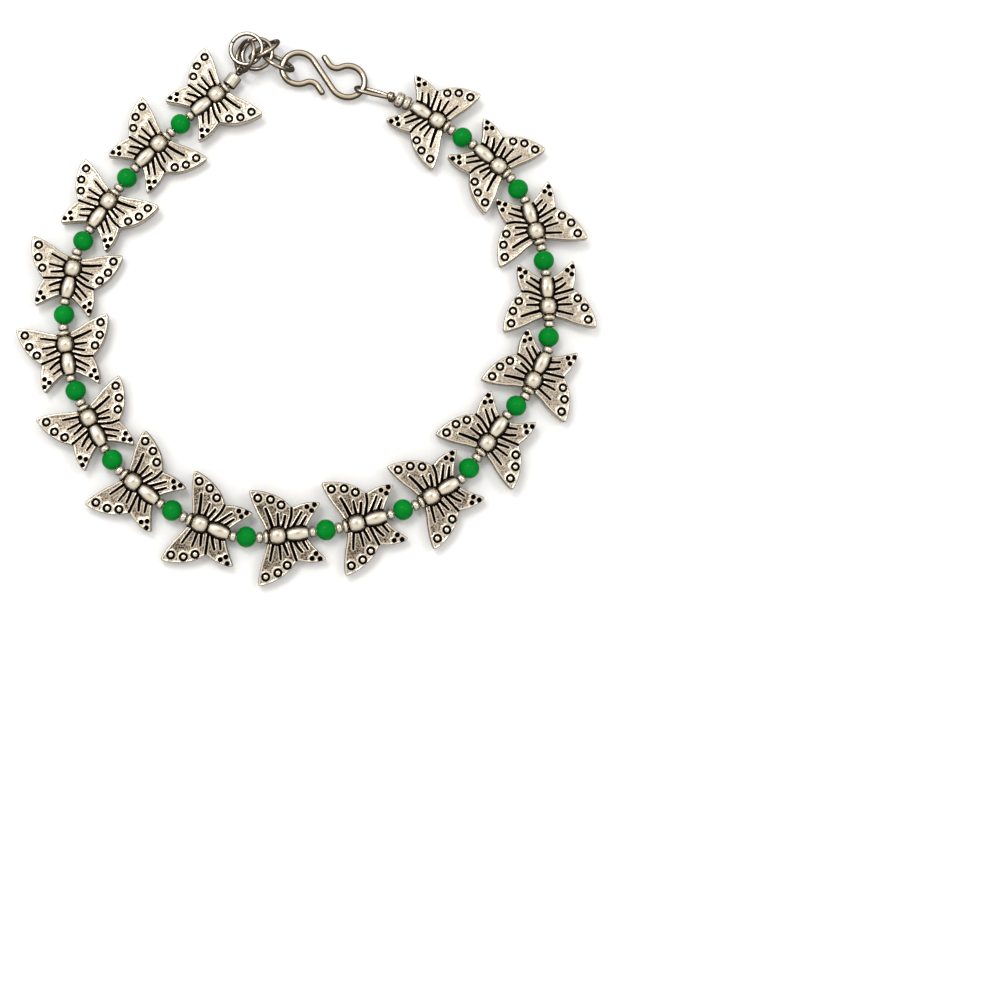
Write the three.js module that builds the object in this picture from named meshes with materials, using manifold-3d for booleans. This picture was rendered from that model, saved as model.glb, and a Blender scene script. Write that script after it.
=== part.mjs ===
import * as THREE from 'three';
import { mergeVertices } from 'three/addons/utils/BufferGeometryUtils.js';
import Module from 'manifold-3d';

const wasm = await Module();
wasm.setup();

// Sizes in millimetres. The string runs level, and all of its pieces are bored for its wire.
const BORE_PLAY = 0.3; // between the wire and the bore around it
const NEIGHBOUR_GAP = 0.15; // between pieces that follow each other on the string
const BEND_GAP = 0.35; // between an end butterfly and the first metal bead beyond it
const WIRE_WIDTH = 0.5;

const GREEN_WIDTH = 3.7;
const GREEN_LENGTH = 3.35;
const SPACER_WIDTH = 1.6;
const SPACER_LENGTH = 1;

// Butterfly: its body lies along the string, its wings reach out to both sides.
const BUTTERFLY_COUNT = 17;
const ABDOMEN_LENGTH = 4;
const ABDOMEN_WIDTH = 2.35;
const THORAX_LENGTH = 3;
const THORAX_WIDTH = 2.9;
const HEAD_LENGTH = 1;
const HEAD_WIDTH = 2.3;
const BODY_DEPTH = 1.18; // height of the body as a share of its width
const WING_OUT = 8.35; // from the string out to the tip of the forewing
const WING_BACK = 8.15; // from the thorax back to the tip of the hindwing
const WING_THICKNESS = 1.9;
const WING_EDGE = 0.3; // rounding of the wing's rim

// Metal beads at the string's two ends.
const CYLINDER_WIDTH = 2.55;
const CYLINDER_LENGTH = 2.3;
const INNER_DISC_WIDTH = 2.55;
const INNER_DISC_LENGTH = 1.2;
const OUTER_DISC_WIDTH = 2.9;
const OUTER_DISC_LENGTH = 1.4;

// Clasp.
const LEFT_EYE_RADIUS = 0.8;
const LEFT_EYE_WIRE = 0.4;
const RING_RADIUS = 2.95;
const RING_WIRE = 0.68;
const HOOK_WIRE = 0.95;
const HOOK_SPINE = 6.4; // the straight middle of the S
const HOOK_SHOULDER_RADIUS = 3.35;
const HOOK_BOW_RADIUS = 3;
const HOOK_FLARE_RADIUS = 1.75;
const HOOK_TIP = 1.96; // the straight end behind each flare
const RIGHT_EYE_LENGTH = 6.15;
const RIGHT_EYE_WIDTH = 2.4;
const RIGHT_EYE_NECK = 0.9;
const RIGHT_EYE_WIRE = 0.68;
const RIGHT_EYE_SLACK = 0.35;
const COIL_WIDTH = 1.9;
const COIL_LENGTH = 1.6;

const degrees = Math.PI / 180;
const boreRadius = WIRE_WIDTH / 2 + BORE_PLAY;
const axisHeight = GREEN_WIDTH / 2;
const butterflyLength = ABDOMEN_LENGTH + THORAX_LENGTH + HEAD_LENGTH;

// One pair of wings, in shares of WING_BACK (ahead of the thorax) and WING_OUT.
const WING_OUTLINE = [
  { ahead: 0.218, out: 0.1 },
  { ahead: 0.455, out: 0.735 },
  { ahead: 0.521, out: 1 },
  { ahead: 0.327, out: 0.975 },
  { ahead: 0.109, out: 0.906 },
  { ahead: -0.17, out: 0.75 },
  { ahead: -0.358, out: 0.535 },
  { ahead: -0.56, out: 0.605 },
  { ahead: -0.8, out: 0.62 },
  { ahead: -1, out: 0.585 },
  { ahead: -0.82, out: 0.39 },
  { ahead: -0.606, out: 0.1 },
];

// Body from tail to head: where along its own section, and how wide there.
const BARREL = { at: [0, 0.5, 1], wide: [0.74, 1, 0.74] };
const BALL = { at: [0.25, 0.75], wide: [0.95, 0.95] };
const BODY_SECTIONS = [
  { ...BARREL, length: ABDOMEN_LENGTH, width: ABDOMEN_WIDTH },
  { ...BALL, length: THORAX_LENGTH, width: THORAX_WIDTH },
  { ...BARREL, length: HEAD_LENGTH, width: HEAD_WIDTH },
];

// How far each butterfly leans, from the left end on, as a share of what the table allows.
const LEANS = [
  0.4, -0.5, 0.5, -0.6, 0.3, -0.4, 0.6, 0.8, 0.7, 0.6, 0.5, -0.4, 0.3, -0.5, -0.9, 0.4, -0.3,
];

// Chosen points of the string's route on the table, as shares of its half width, from the
// middle butterfly round by the left side, the clasp and the right side.
const ROUTE = [
  [-0.091, -0.957], [-0.343, -0.958], [-0.764, -0.729], [-0.926, -0.502], [-1.059, -0.179],
  [-1.038, 0.224], [-0.890, 0.498], [-0.701, 0.740], [-0.405, 1.003], [-0.111, 1.200],
  [0.265, 1.059], [0.582, 0.881], [0.899, 0.625], [1.018, 0.377], [1.060, -0.057],
  [1.018, -0.263], [0.804, -0.513], [0.647, -0.732], [0.284, -0.892],
];

// The five rings, from the hook back to the string: centres as shares of RING_RADIUS from the
// left eye, and which way each ring faces.
const RINGS = [
  { name: 'jump_ring_1', centre: [2.412, 0.406, 0.366], faces: [0.45, 0.751, 0.484] },
  { name: 'jump_ring_2', centre: [1.086, 1.153, -0.201], faces: [-0.304, 0.044, 0.952] },
  { name: 'jump_ring_3', centre: [1.537, 1.237, 0.377], faces: [-0.48, 0.743, 0.466] },
  { name: 'jump_ring_4', centre: [0.413, 1.427, -0.028], faces: [-0.115, -0.036, 0.993] },
  { name: 'jump_ring_5', centre: [0.346, 0.827, 0.37], faces: [-0.819, 0.088, 0.567] },
];
const LEFT_BOW = [3.64, 0.15, -0.155];
const LEFT_EYE_FACES = [0.709, -0.532, 0.463];

// Turns of the clasp's pieces on the table, anticlockwise from the photo's right.
const CYLINDER_TURN = 53 * degrees;
const HOOK_TURN = -57 * degrees;
const HOOK_SHOULDER_SWEEP = 57 * degrees;
const HOOK_BOW_SWEEP = 206 * degrees;
const HOOK_CROSSING = -34 * degrees; // where on its bow the right eye holds the hook
const RIGHT_EYE_TURN = -16.6 * degrees;
const RIGHT_EYE_TILT = 33 * degrees; // the loop stands on its side, tilted this far
const DISC_TURN = -25 * degrees;

const silver = { color: 0xb9ad9b, metalness: 0.9, roughness: 0.35 };
const green = { color: 0x008a1e, metalness: 0, roughness: 0.2 };

function toSolid(geometry) {
  const plain = geometry.clone();
  plain.deleteAttribute('normal');
  plain.deleteAttribute('uv');
  const merged = mergeVertices(plain, 1e-5);
  return new wasm.Manifold(new wasm.Mesh({
    numProp: 3,
    vertProperties: merged.attributes.position.array,
    triVerts: new Uint32Array(merged.index.array),
  }));
}

function toGeometry(solid) {
  const mesh = solid.getMesh();
  const geometry = new THREE.BufferGeometry();
  geometry.setAttribute('position', new THREE.BufferAttribute(mesh.vertProperties, 3));
  geometry.setIndex(new THREE.BufferAttribute(mesh.triVerts, 1));
  geometry.computeVertexNormals();
  return geometry;
}

// A turned solid whose axis is x; the profile holds [radius, along x] pairs.
function turned(profile, sides) {
  const points = profile.map(([radius, along]) => new THREE.Vector2(radius, along));
  const geometry = new THREE.LatheGeometry(points, sides);
  geometry.rotateZ(-Math.PI / 2);
  return geometry;
}

// A turned bead with its bore, closed on itself; sections run from one end to the other.
function boredBead(sections, sides) {
  const first = [boreRadius, sections[0][1]];
  const last = [boreRadius, sections[sections.length - 1][1]];
  return turned([first, ...sections, last, first], sides);
}

// Skin over round stations { centre, along, radius }, open ends capped unless it is a loop.
function roundSkin(stations, sides, across, loop) {
  const positions = [];
  const index = [];
  stations.forEach(({ centre, along, radius }) => {
    const side = new THREE.Vector3().crossVectors(across, along).normalize();
    const top = new THREE.Vector3().crossVectors(along, side).normalize();
    for (let k = 0; k < sides; k += 1) {
      const angle = (2 * Math.PI * k) / sides;
      const point = centre.clone();
      point.addScaledVector(side, radius * Math.cos(angle));
      point.addScaledVector(top, radius * Math.sin(angle));
      positions.push(point.x, point.y, point.z);
    }
  });
  const count = stations.length;
  const last = loop ? count : count - 1;
  for (let i = 0; i < last; i += 1) {
    for (let k = 0; k < sides; k += 1) {
      const a = i * sides + k;
      const b = i * sides + ((k + 1) % sides);
      const c = ((i + 1) % count) * sides + k;
      const d = ((i + 1) % count) * sides + ((k + 1) % sides);
      index.push(a, b, d, a, d, c);
    }
  }
  if (!loop) {
    for (let k = 1; k < sides - 1; k += 1) {
      const end = (count - 1) * sides;
      index.push(0, k + 1, k, end, end + k, end + k + 1);
    }
  }
  const geometry = new THREE.BufferGeometry();
  geometry.setAttribute('position', new THREE.Float32BufferAttribute(positions, 3));
  geometry.setIndex(index);
  geometry.computeVertexNormals();
  return geometry;
}

const UP = new THREE.Vector3(0, 0, 1);

function flat(angle, length = 1) {
  return new THREE.Vector3(length * Math.cos(angle), length * Math.sin(angle), 0);
}

function butterflyGeometry() {
  const thoraxMiddle = ABDOMEN_LENGTH + THORAX_LENGTH / 2 - butterflyLength / 2;
  const left = WING_OUTLINE.map(({ ahead, out }) => (
    new THREE.Vector2(thoraxMiddle + ahead * WING_BACK, out * WING_OUT)));
  const right = left.map((point) => new THREE.Vector2(point.x, -point.y)).reverse();
  const wings = new THREE.ExtrudeGeometry(new THREE.Shape([...right, ...left]), {
    depth: WING_THICKNESS - 2 * WING_EDGE,
    bevelEnabled: true,
    bevelThickness: WING_EDGE,
    bevelSize: WING_EDGE,
    bevelOffset: -WING_EDGE,
    bevelSegments: 1,
  });
  wings.translate(0, 0, WING_EDGE - WING_THICKNESS / 2);
  const sections = [];
  let start = -butterflyLength / 2;
  BODY_SECTIONS.forEach(({ length, width, at, wide }) => {
    sections.push(...at.map((share, i) => [wide[i] * width / 2, start + share * length]));
    start += length;
  });
  const body = turned([[0, sections[0][1]], ...sections, [0, sections[sections.length - 1][1]]], 8);
  body.scale(1, 1, BODY_DEPTH);
  const bore = new THREE.CylinderGeometry(boreRadius, boreRadius, butterflyLength + 2, 6);
  bore.rotateZ(Math.PI / 2);
  return toGeometry(toSolid(wings).add(toSolid(body)).subtract(toSolid(bore)));
}

function greenBeadGeometry() {
  const widest = GREEN_WIDTH / 2;
  const half = GREEN_LENGTH / 2;
  const opening = Math.acos(Math.min(1, (boreRadius + 0.1) / widest));
  const sections = [];
  const steps = 4;
  for (let i = 0; i <= steps; i += 1) {
    const angle = -opening + (2 * opening * i) / steps;
    sections.push([widest * Math.cos(angle), half * Math.sin(angle) / Math.sin(opening)]);
  }
  return boredBead(sections, 12);
}

function discGeometry(width, length) {
  const rim = width / 2;
  const half = length / 2;
  return boredBead([
    [rim * 0.78, -half], [rim, -half * 0.5], [rim, half * 0.5], [rim * 0.78, half],
  ], 12);
}

// Route of the string, as a fine run of points round the whole loop.
const routePoints = ROUTE.map(([x, y]) => new THREE.Vector3(x, y, 0));
const route = new THREE.CatmullRomCurve3(routePoints, true, 'centripetal')
  .getSpacedPoints(1440)
  .slice(0, -1);

// From a place on the route, the next place that lies a given straight distance away.
function stepAlong(place, distance, direction, scale) {
  const from = place.point;
  let index = place.index;
  let near = from;
  for (let guard = 0; guard < route.length; guard += 1) {
    const nextIndex = (index + direction + route.length) % route.length;
    const far = route[nextIndex].clone().multiplyScalar(scale);
    if (far.distanceTo(from) >= distance) {
      let low = 0;
      let high = 1;
      for (let i = 0; i < 40; i += 1) {
        const middle = (low + high) / 2;
        if (near.clone().lerp(far, middle).distanceTo(from) < distance) {
          low = middle;
        } else {
          high = middle;
        }
      }
      return { point: near.clone().lerp(far, high), index };
    }
    near = far;
    index = nextIndex;
  }
  throw new Error('the route is shorter than the string');
}

// Straight stretches of the wire from the middle butterfly outwards: a butterfly or a green
// bead each, bent only inside the spacer beads between them.
const spacerShare = NEIGHBOUR_GAP + SPACER_LENGTH / 2;
const butterflyStretch = butterflyLength + 2 * spacerShare;
const beadStretch = GREEN_LENGTH + 2 * spacerShare;
const endStretch = butterflyLength + spacerShare + BEND_GAP / 2;
const halfCount = (BUTTERFLY_COUNT - 1) / 2;

function walkHalf(direction, scale) {
  const start = { point: route[0].clone().multiplyScalar(scale), index: 0 };
  const bends = [stepAlong(start, butterflyStretch / 2, direction, scale)];
  for (let i = 0; i < halfCount; i += 1) {
    bends.push(stepAlong(bends[bends.length - 1], beadStretch, direction, scale));
    const length = i === halfCount - 1 ? endStretch : butterflyStretch;
    bends.push(stepAlong(bends[bends.length - 1], length, direction, scale));
  }
  return bends.map(({ point }) => point);
}

// Half of the hook from its middle: straight, shoulder, bow, flare and straight tip.
function hookHalf() {
  const flareSweep = HOOK_SHOULDER_SWEEP + HOOK_BOW_SWEEP - 180 * degrees;
  const steps = [
    { length: HOOK_SPINE / 2, turn: 0, count: 1 },
    { length: HOOK_SHOULDER_RADIUS * HOOK_SHOULDER_SWEEP, turn: HOOK_SHOULDER_SWEEP, count: 4 },
    { length: HOOK_BOW_RADIUS * HOOK_BOW_SWEEP, turn: HOOK_BOW_SWEEP, count: 12 },
    { length: HOOK_FLARE_RADIUS * flareSweep, turn: -flareSweep, count: 4 },
    { length: HOOK_TIP, turn: 0, count: 1 },
  ];
  let heading = HOOK_TURN;
  let point = new THREE.Vector3();
  let bowCentre = null;
  const points = [];
  steps.forEach(({ length, turn, count }, stage) => {
    if (stage === 2) {
      bowCentre = point.clone().add(flat(heading + 90 * degrees, HOOK_BOW_RADIUS));
    }
    for (let i = 0; i < count; i += 1) {
      const radius = turn === 0 ? 0 : length / Math.abs(turn);
      const chord = turn === 0 ? length : 2 * radius * Math.sin(Math.abs(turn) / count / 2);
      heading += turn / count / 2;
      point = point.clone().add(flat(heading, chord));
      heading += turn / count / 2;
      points.push({ point, heading });
    }
  });
  return { points, bowCentre };
}

function hookGeometry() {
  const { points } = hookHalf();
  const half = points.map(({ point, heading }) => ({
    centre: point, along: flat(heading), radius: HOOK_WIRE / 2,
  }));
  const tip = half[half.length - 1];
  half.push({
    centre: tip.centre.clone().addScaledVector(tip.along, HOOK_WIRE * 0.15),
    along: tip.along,
    radius: HOOK_WIRE * 0.36,
  });
  const otherHalf = half.map(({ centre, along, radius }) => ({
    centre: centre.clone().negate(), along: along.clone(), radius,
  })).reverse();
  return roundSkin([...otherHalf, ...half], 6, UP, false);
}

// Small ring with a stem that reaches back into the cylinder bead, along -x.
function leftEyeGeometry(stem) {
  const ring = new THREE.TorusGeometry(LEFT_EYE_RADIUS, LEFT_EYE_WIRE / 2, 6, 12);
  const start = -LEFT_EYE_RADIUS - stem;
  const rod = turned([[0, start], [WIRE_WIDTH / 2, start], [WIRE_WIDTH / 2, -LEFT_EYE_RADIUS],
    [0, -LEFT_EYE_RADIUS]], 6);
  return toGeometry(toSolid(ring).add(toSolid(rod)));
}

// Long loop in the x-y plane from x = 0 (round end) to its narrow neck, then the coil and stem.
function rightEyeGeometry(stem) {
  const stations = [];
  const count = 20;
  const widest = RIGHT_EYE_WIDTH / 2;
  const neck = RIGHT_EYE_NECK / 2;
  const outline = [];
  for (let i = 0; i < 6; i += 1) {
    const angle = Math.PI - (i + 0.5) * (Math.PI / 2) / 5.5;
    outline.push([widest + widest * Math.cos(angle), widest * Math.sin(angle)]);
  }
  for (let i = 1; i <= 4; i += 1) {
    const share = i / 4;
    const x = widest + (RIGHT_EYE_LENGTH - widest) * share;
    outline.push([x, widest + (neck - widest) * share ** 1.6]);
  }
  const around = [...outline, ...outline.slice().reverse().map(([x, y]) => [x, -y])];
  around.forEach(([x, y], i) => {
    const before = around[(i + count - 1) % count];
    const after = around[(i + 1) % count];
    stations.push({
      centre: new THREE.Vector3(x, y, 0),
      along: new THREE.Vector3(after[0] - before[0], after[1] - before[1], 0).normalize(),
      radius: RIGHT_EYE_WIRE / 2,
    });
  });
  const loop = roundSkin(stations, 6, UP, true);
  const coilRim = COIL_WIDTH / 2;
  const start = RIGHT_EYE_LENGTH - RIGHT_EYE_WIRE * 0.35;
  const turn = COIL_LENGTH / 2;
  const end = start + COIL_LENGTH;
  const coil = turned([
    [0, start], [coilRim * 0.8, start], [coilRim, start + turn * 0.5],
    [coilRim * 0.82, start + turn], [coilRim, start + turn * 1.5], [coilRim * 0.8, end],
    [WIRE_WIDTH / 2, end], [WIRE_WIDTH / 2, end + stem], [0, end + stem],
  ], 10);
  return toGeometry(toSolid(loop).add(toSolid(coil)));
}

const anklet = new THREE.Group();
const silverMaterial = () => new THREE.MeshStandardMaterial(silver);
const greenMaterial = () => new THREE.MeshStandardMaterial(green);

function addPiece(parent, name, geometry, material) {
  const mesh = new THREE.Mesh(geometry, material);
  mesh.name = name;
  parent.add(mesh);
  return mesh;
}

// Clasp, laid out from the left end of the string at the origin, level with the string.
const clasp = new THREE.Group();
const cylinderAxis = flat(CYLINDER_TURN);
const cylinderEnd = cylinderAxis.clone().multiplyScalar(BEND_GAP / 2 + CYLINDER_LENGTH);
const leftEyeReach = LEFT_EYE_RADIUS + LEFT_EYE_WIRE / 2 + NEIGHBOUR_GAP;
const leftEyeCentre = cylinderEnd.clone().addScaledVector(cylinderAxis, leftEyeReach);
const cylinderShape = discGeometry(CYLINDER_WIDTH, CYLINDER_LENGTH);
const cylinderBead = addPiece(clasp, 'cylinder_bead', cylinderShape, silverMaterial());
cylinderBead.position.copy(cylinderEnd).addScaledVector(cylinderAxis, -CYLINDER_LENGTH / 2);
cylinderBead.rotation.z = CYLINDER_TURN;

const eyeFacing = new THREE.Vector3(...LEFT_EYE_FACES);
eyeFacing.addScaledVector(cylinderAxis, -eyeFacing.dot(cylinderAxis)).normalize();
const leftEyeShape = leftEyeGeometry(NEIGHBOUR_GAP + LEFT_EYE_WIRE / 2 + CYLINDER_LENGTH * 0.35);
const leftEye = addPiece(clasp, 'left_eye', leftEyeShape, silverMaterial());
leftEye.position.copy(leftEyeCentre);
leftEye.quaternion.setFromRotationMatrix(new THREE.Matrix4().makeBasis(
  cylinderAxis, new THREE.Vector3().crossVectors(eyeFacing, cylinderAxis), eyeFacing));

function fromEye([x, y, z]) {
  return new THREE.Vector3(x, y, z).multiplyScalar(RING_RADIUS).add(leftEyeCentre);
}
RINGS.forEach(({ name, centre, faces }) => {
  const ringShape = new THREE.TorusGeometry(RING_RADIUS, RING_WIRE / 2, 6, 16);
  const ring = addPiece(clasp, name, ringShape, silverMaterial());
  ring.position.copy(fromEye(centre));
  ring.quaternion.setFromUnitVectors(UP, new THREE.Vector3(...faces).normalize());
});

const { bowCentre } = hookHalf();
const hookCentre = fromEye(LEFT_BOW).add(bowCentre);
const hook = addPiece(clasp, 's_hook', hookGeometry(), silverMaterial());
hook.position.copy(hookCentre);

const crossing = hookCentre.clone().add(bowCentre).add(flat(HOOK_CROSSING, HOOK_BOW_RADIUS));
const eyeAxis = flat(RIGHT_EYE_TURN);
const eyeOverlap = (HOOK_WIRE + RIGHT_EYE_WIRE) / 2 + RIGHT_EYE_SLACK;
const eyeStart = crossing.clone().addScaledVector(eyeAxis, -eyeOverlap);
const rise = -eyeStart.z / (RIGHT_EYE_LENGTH + COIL_LENGTH);
const dippedAxis = eyeAxis.clone().setZ(rise).normalize();
const coilEnd = eyeStart.clone();
coilEnd.addScaledVector(dippedAxis, RIGHT_EYE_LENGTH - RIGHT_EYE_WIRE * 0.35 + COIL_LENGTH);
const discAxis = flat(DISC_TURN);
const rightEyeShape = rightEyeGeometry(NEIGHBOUR_GAP + OUTER_DISC_LENGTH * 0.4);
const rightEye = addPiece(clasp, 'right_eye', rightEyeShape, silverMaterial());
rightEye.position.copy(eyeStart);
const loopSide = new THREE.Vector3().crossVectors(UP, dippedAxis).normalize();
const loopUp = new THREE.Vector3().crossVectors(dippedAxis, loopSide).normalize();
const loopAcross = loopUp.clone().multiplyScalar(Math.cos(RIGHT_EYE_TILT))
  .addScaledVector(loopSide, -Math.sin(RIGHT_EYE_TILT));
rightEye.quaternion.setFromRotationMatrix(new THREE.Matrix4().makeBasis(
  dippedAxis, loopAcross, new THREE.Vector3().crossVectors(dippedAxis, loopAcross)));

let along = NEIGHBOUR_GAP;
[
  { name: 'outer_disc', width: OUTER_DISC_WIDTH, length: OUTER_DISC_LENGTH, after: NEIGHBOUR_GAP },
  { name: 'inner_disc', width: INNER_DISC_WIDTH, length: INNER_DISC_LENGTH, after: BEND_GAP / 2 },
].forEach(({ name, width, length, after }) => {
  const disc = addPiece(clasp, name, discGeometry(width, length), silverMaterial());
  disc.position.copy(coilEnd).setZ(0).addScaledVector(discAxis, along + length / 2);
  disc.rotation.z = DISC_TURN;
  along += length + after;
});
const rightEnd = coilEnd.clone().setZ(0).addScaledVector(discAxis, along);

// The route grows or shrinks until the string's two ends are as far apart as the clasp is long.
const claspSpan = rightEnd.length();
let low = 0.5 * claspSpan;
let high = 3 * claspSpan;
for (let i = 0; i < 50; i += 1) {
  const middle = (low + high) / 2;
  const gap = walkHalf(1, middle).pop().distanceTo(walkHalf(-1, middle).pop());
  if (gap < claspSpan) {
    low = middle;
  } else {
    high = middle;
  }
}
const routeScale = high;
const toLeft = walkHalf(1, routeScale);
const toRight = walkHalf(-1, routeScale);
const bends = [...toLeft.slice().reverse(), ...toRight];
const leftEnd = bends[0];
const chord = bends[bends.length - 1].clone().sub(leftEnd);
clasp.position.copy(leftEnd).setZ(axisHeight);
clasp.rotation.z = Math.atan2(chord.y, chord.x) - Math.atan2(rightEnd.y, rightEnd.x);

// Pieces on the straight stretches, from the left end to the right end, all heads leftwards.
const butterflyShape = butterflyGeometry();
const greenBeadShape = greenBeadGeometry();
const numbered = (name, number) => `${name}_${String(number).padStart(2, '0')}`;
for (let i = 0; i < bends.length - 1; i += 1) {
  const stretch = bends[i].clone().sub(bends[i + 1]);
  const heading = stretch.clone().normalize();
  const turn = Math.atan2(stretch.y, stretch.x);
  const number = Math.floor(i / 2) + 1;
  const tailShare = number === BUTTERFLY_COUNT ? BEND_GAP / 2 : spacerShare;
  const middle = bends[i + 1].clone().setZ(axisHeight);
  if (i % 2 === 0) {
    const name = numbered('butterfly', number);
    const butterfly = addPiece(anklet, name, butterflyShape.clone(), silverMaterial());
    const room = axisHeight - WING_THICKNESS / 2 - 0.02;
    const mostLean = Math.asin(Math.min(0.5, room / WING_OUT));
    const lean = LEANS[(number - 1) % LEANS.length] * mostLean;
    butterfly.position.copy(middle).addScaledVector(heading, tailShare + butterflyLength / 2);
    butterfly.rotation.set(-lean, 0, turn, 'ZYX');
  } else {
    const name = numbered('green_bead', number);
    const bead = addPiece(anklet, name, greenBeadShape.clone(), greenMaterial());
    bead.position.copy(middle).addScaledVector(heading, spacerShare + GREEN_LENGTH / 2);
    bead.rotation.z = turn;
  }
}

// The wire with its spacer beads: it swells at every inner bend.
function stringGeometry() {
  const stations = [];
  const wire = WIRE_WIDTH / 2;
  const spacer = SPACER_WIDTH / 2;
  const shoulder = SPACER_LENGTH * 0.28;
  const end = SPACER_LENGTH / 2;
  const points = bends.map((point) => point.clone().setZ(axisHeight));
  points.forEach((point, i) => {
    const before = points[Math.max(0, i - 1)];
    const after = points[Math.min(points.length - 1, i + 1)];
    const direction = after.clone().sub(before).normalize();
    if (i === 0 || i === points.length - 1) {
      const atLeft = i === 0;
      const reach = BEND_GAP / 2 + 0.4 * (atLeft ? CYLINDER_LENGTH : INNER_DISC_LENGTH);
      const outwards = atLeft ? cylinderAxis.clone() : discAxis.clone().negate();
      outwards.applyAxisAngle(UP, clasp.rotation.z);
      const onwards = outwards.clone().multiplyScalar(atLeft ? -1 : 1);
      const tip = point.clone().addScaledVector(outwards, reach);
      const beyond = { centre: tip, along: onwards, radius: wire };
      const halfway = direction.clone().add(onwards).normalize();
      const corner = { centre: point, along: halfway, radius: wire };
      stations.push(...(atLeft ? [beyond, corner] : [corner, beyond]));
      return;
    }
    [
      [-end, wire], [-shoulder, spacer], [shoulder, spacer], [end, wire],
    ].forEach(([offset, radius]) => {
      const centre = point.clone().addScaledVector(direction, offset);
      stations.push({ centre, along: direction, radius });
    });
  });
  return roundSkin(stations, 10, UP, false);
}
addPiece(anklet, 'string_with_spacers', stringGeometry(), silverMaterial());
anklet.add(clasp);

// The origin lies on the table under the middle of the whole anklet.
anklet.updateMatrixWorld(true);
const box = new THREE.Box3().setFromObject(anklet, true);
const middle = box.getCenter(new THREE.Vector3());
anklet.position.set(-middle.x, -middle.y, -box.min.z);

export default anklet;
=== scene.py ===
"""Payal anklet: silver butterflies and green beads on a wire, a chain of rings and an S hook."""

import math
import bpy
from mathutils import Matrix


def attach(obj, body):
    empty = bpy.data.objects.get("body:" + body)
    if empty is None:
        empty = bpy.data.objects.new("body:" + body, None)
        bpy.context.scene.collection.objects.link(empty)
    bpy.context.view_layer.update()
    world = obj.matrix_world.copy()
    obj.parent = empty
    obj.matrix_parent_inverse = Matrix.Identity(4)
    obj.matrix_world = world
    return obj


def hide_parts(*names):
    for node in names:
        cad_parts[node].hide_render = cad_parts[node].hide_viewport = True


bl_info = {
    "name": "Payal anklet",
    "version": (1, 0, 0),
    "blender": (4, 5, 0),
    "location": "3D View > Sidebar > Anklet",
    "description": "Butterflies, green beads, spacers and clasp of a payal anklet",
    "category": "Add Mesh",
}

import bmesh
import bpy
import numpy as np
from bpy.props import FloatProperty, FloatVectorProperty, IntProperty, PointerProperty
from mathutils import Vector
from mathutils.geometry import delaunay_2d_cdt

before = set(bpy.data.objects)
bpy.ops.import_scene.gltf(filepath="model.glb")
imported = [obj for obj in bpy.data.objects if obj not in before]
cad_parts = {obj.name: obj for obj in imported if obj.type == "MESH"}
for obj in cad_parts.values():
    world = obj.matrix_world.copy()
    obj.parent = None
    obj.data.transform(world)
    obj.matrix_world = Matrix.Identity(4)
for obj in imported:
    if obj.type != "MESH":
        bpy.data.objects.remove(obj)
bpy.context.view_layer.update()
MM = 0.001
BUTTERFLIES = sorted(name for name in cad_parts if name.startswith("butterfly_"))
GREEN_BEADS = sorted(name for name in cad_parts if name.startswith("green_bead_"))
JUMP_RINGS = sorted(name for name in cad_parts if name.startswith("jump_ring_"))

# Butterfly, in millimetres, from the middle of its body with the head ahead.
BODY_HALF = 4.0
THORAX_AHEAD = 1.5
WING_BACK = 8.15
WING_OUT = 8.35
BODY_DEPTH = 1.18
BODY_SQUARENESS = 0.8
BODY_BORE = 0.52
BODY_WAIST = 0.72
BEND_REACH = 0.65
END_REACH = 0.175

# One pair of wings as shares of WING_BACK ahead of the thorax and of WING_OUT, from the
# head round to the tail. The tips and the notch between the wings are corners.
WING_RUNS = [
    [(0.218, 0.08), (0.3, 0.32), (0.378, 0.48), (0.458, 0.7), (0.505, 0.88), (0.521, 1.0)],
    [(0.521, 1.0), (0.43, 0.99), (0.327, 0.972), (0.2, 0.94), (0.109, 0.906), (-0.04, 0.838),
     (-0.17, 0.752), (-0.27, 0.655), (-0.33, 0.58), (-0.358, 0.535)],
    [(-0.358, 0.535), (-0.45, 0.573), (-0.56, 0.605), (-0.68, 0.62), (-0.8, 0.62), (-0.9, 0.608),
     (-1.0, 0.585)],
    [(-1.0, 0.585), (-0.91, 0.49), (-0.82, 0.388), (-0.7, 0.235), (-0.606, 0.08)],
]

# Marks in each forewing and each hindwing, in the same shares.
EYE_SPOTS = [(0.341, 0.818), (0.073, 0.762), (-0.141, 0.627)]
PITS = [(-0.682, 0.538), (-0.85, 0.563), (-0.776, 0.445)]

# Veins: points from the body outwards, then half width at the body and at the outer end.
OUTER_VEINS = [
    ([(0.107, 0.15), (0.165, 0.34), (0.212, 0.493)], 0.17, 0.1),
    ([(-0.017, 0.15), (-0.02, 0.34), (-0.017, 0.486)], 0.17, 0.1),
    ([(-0.1, 0.15), (-0.145, 0.3), (-0.177, 0.414)], 0.19, 0.11),
    ([(-0.245, 0.12), (-0.298, 0.341), (-0.345, 0.535)], 0.16, 0.13),
    ([(-0.335, 0.14), (-0.41, 0.28), (-0.486, 0.384)], 0.2, 0.12),
    ([(-0.505, 0.13), (-0.61, 0.334)], 0.17, 0.1),
]
INNER_VEINS = [
    ([(0.085, 0.15), (0.141, 0.394), (0.197, 0.585)], 0.22, 0.13),
    ([(-0.034, 0.15), (-0.048, 0.457)], 0.19, 0.09),
    ([(-0.115, 0.15), (-0.165, 0.28), (-0.201, 0.389)], 0.17, 0.13),
    ([(-0.22, 0.12), (-0.281, 0.255), (-0.333, 0.384), (-0.355, 0.535)], 0.16, 0.13),
    ([(-0.325, 0.12), (-0.559, 0.434)], 0.2, 0.1),
    ([(-0.49, 0.13), (-0.645, 0.338)], 0.19, 0.1),
]

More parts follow.
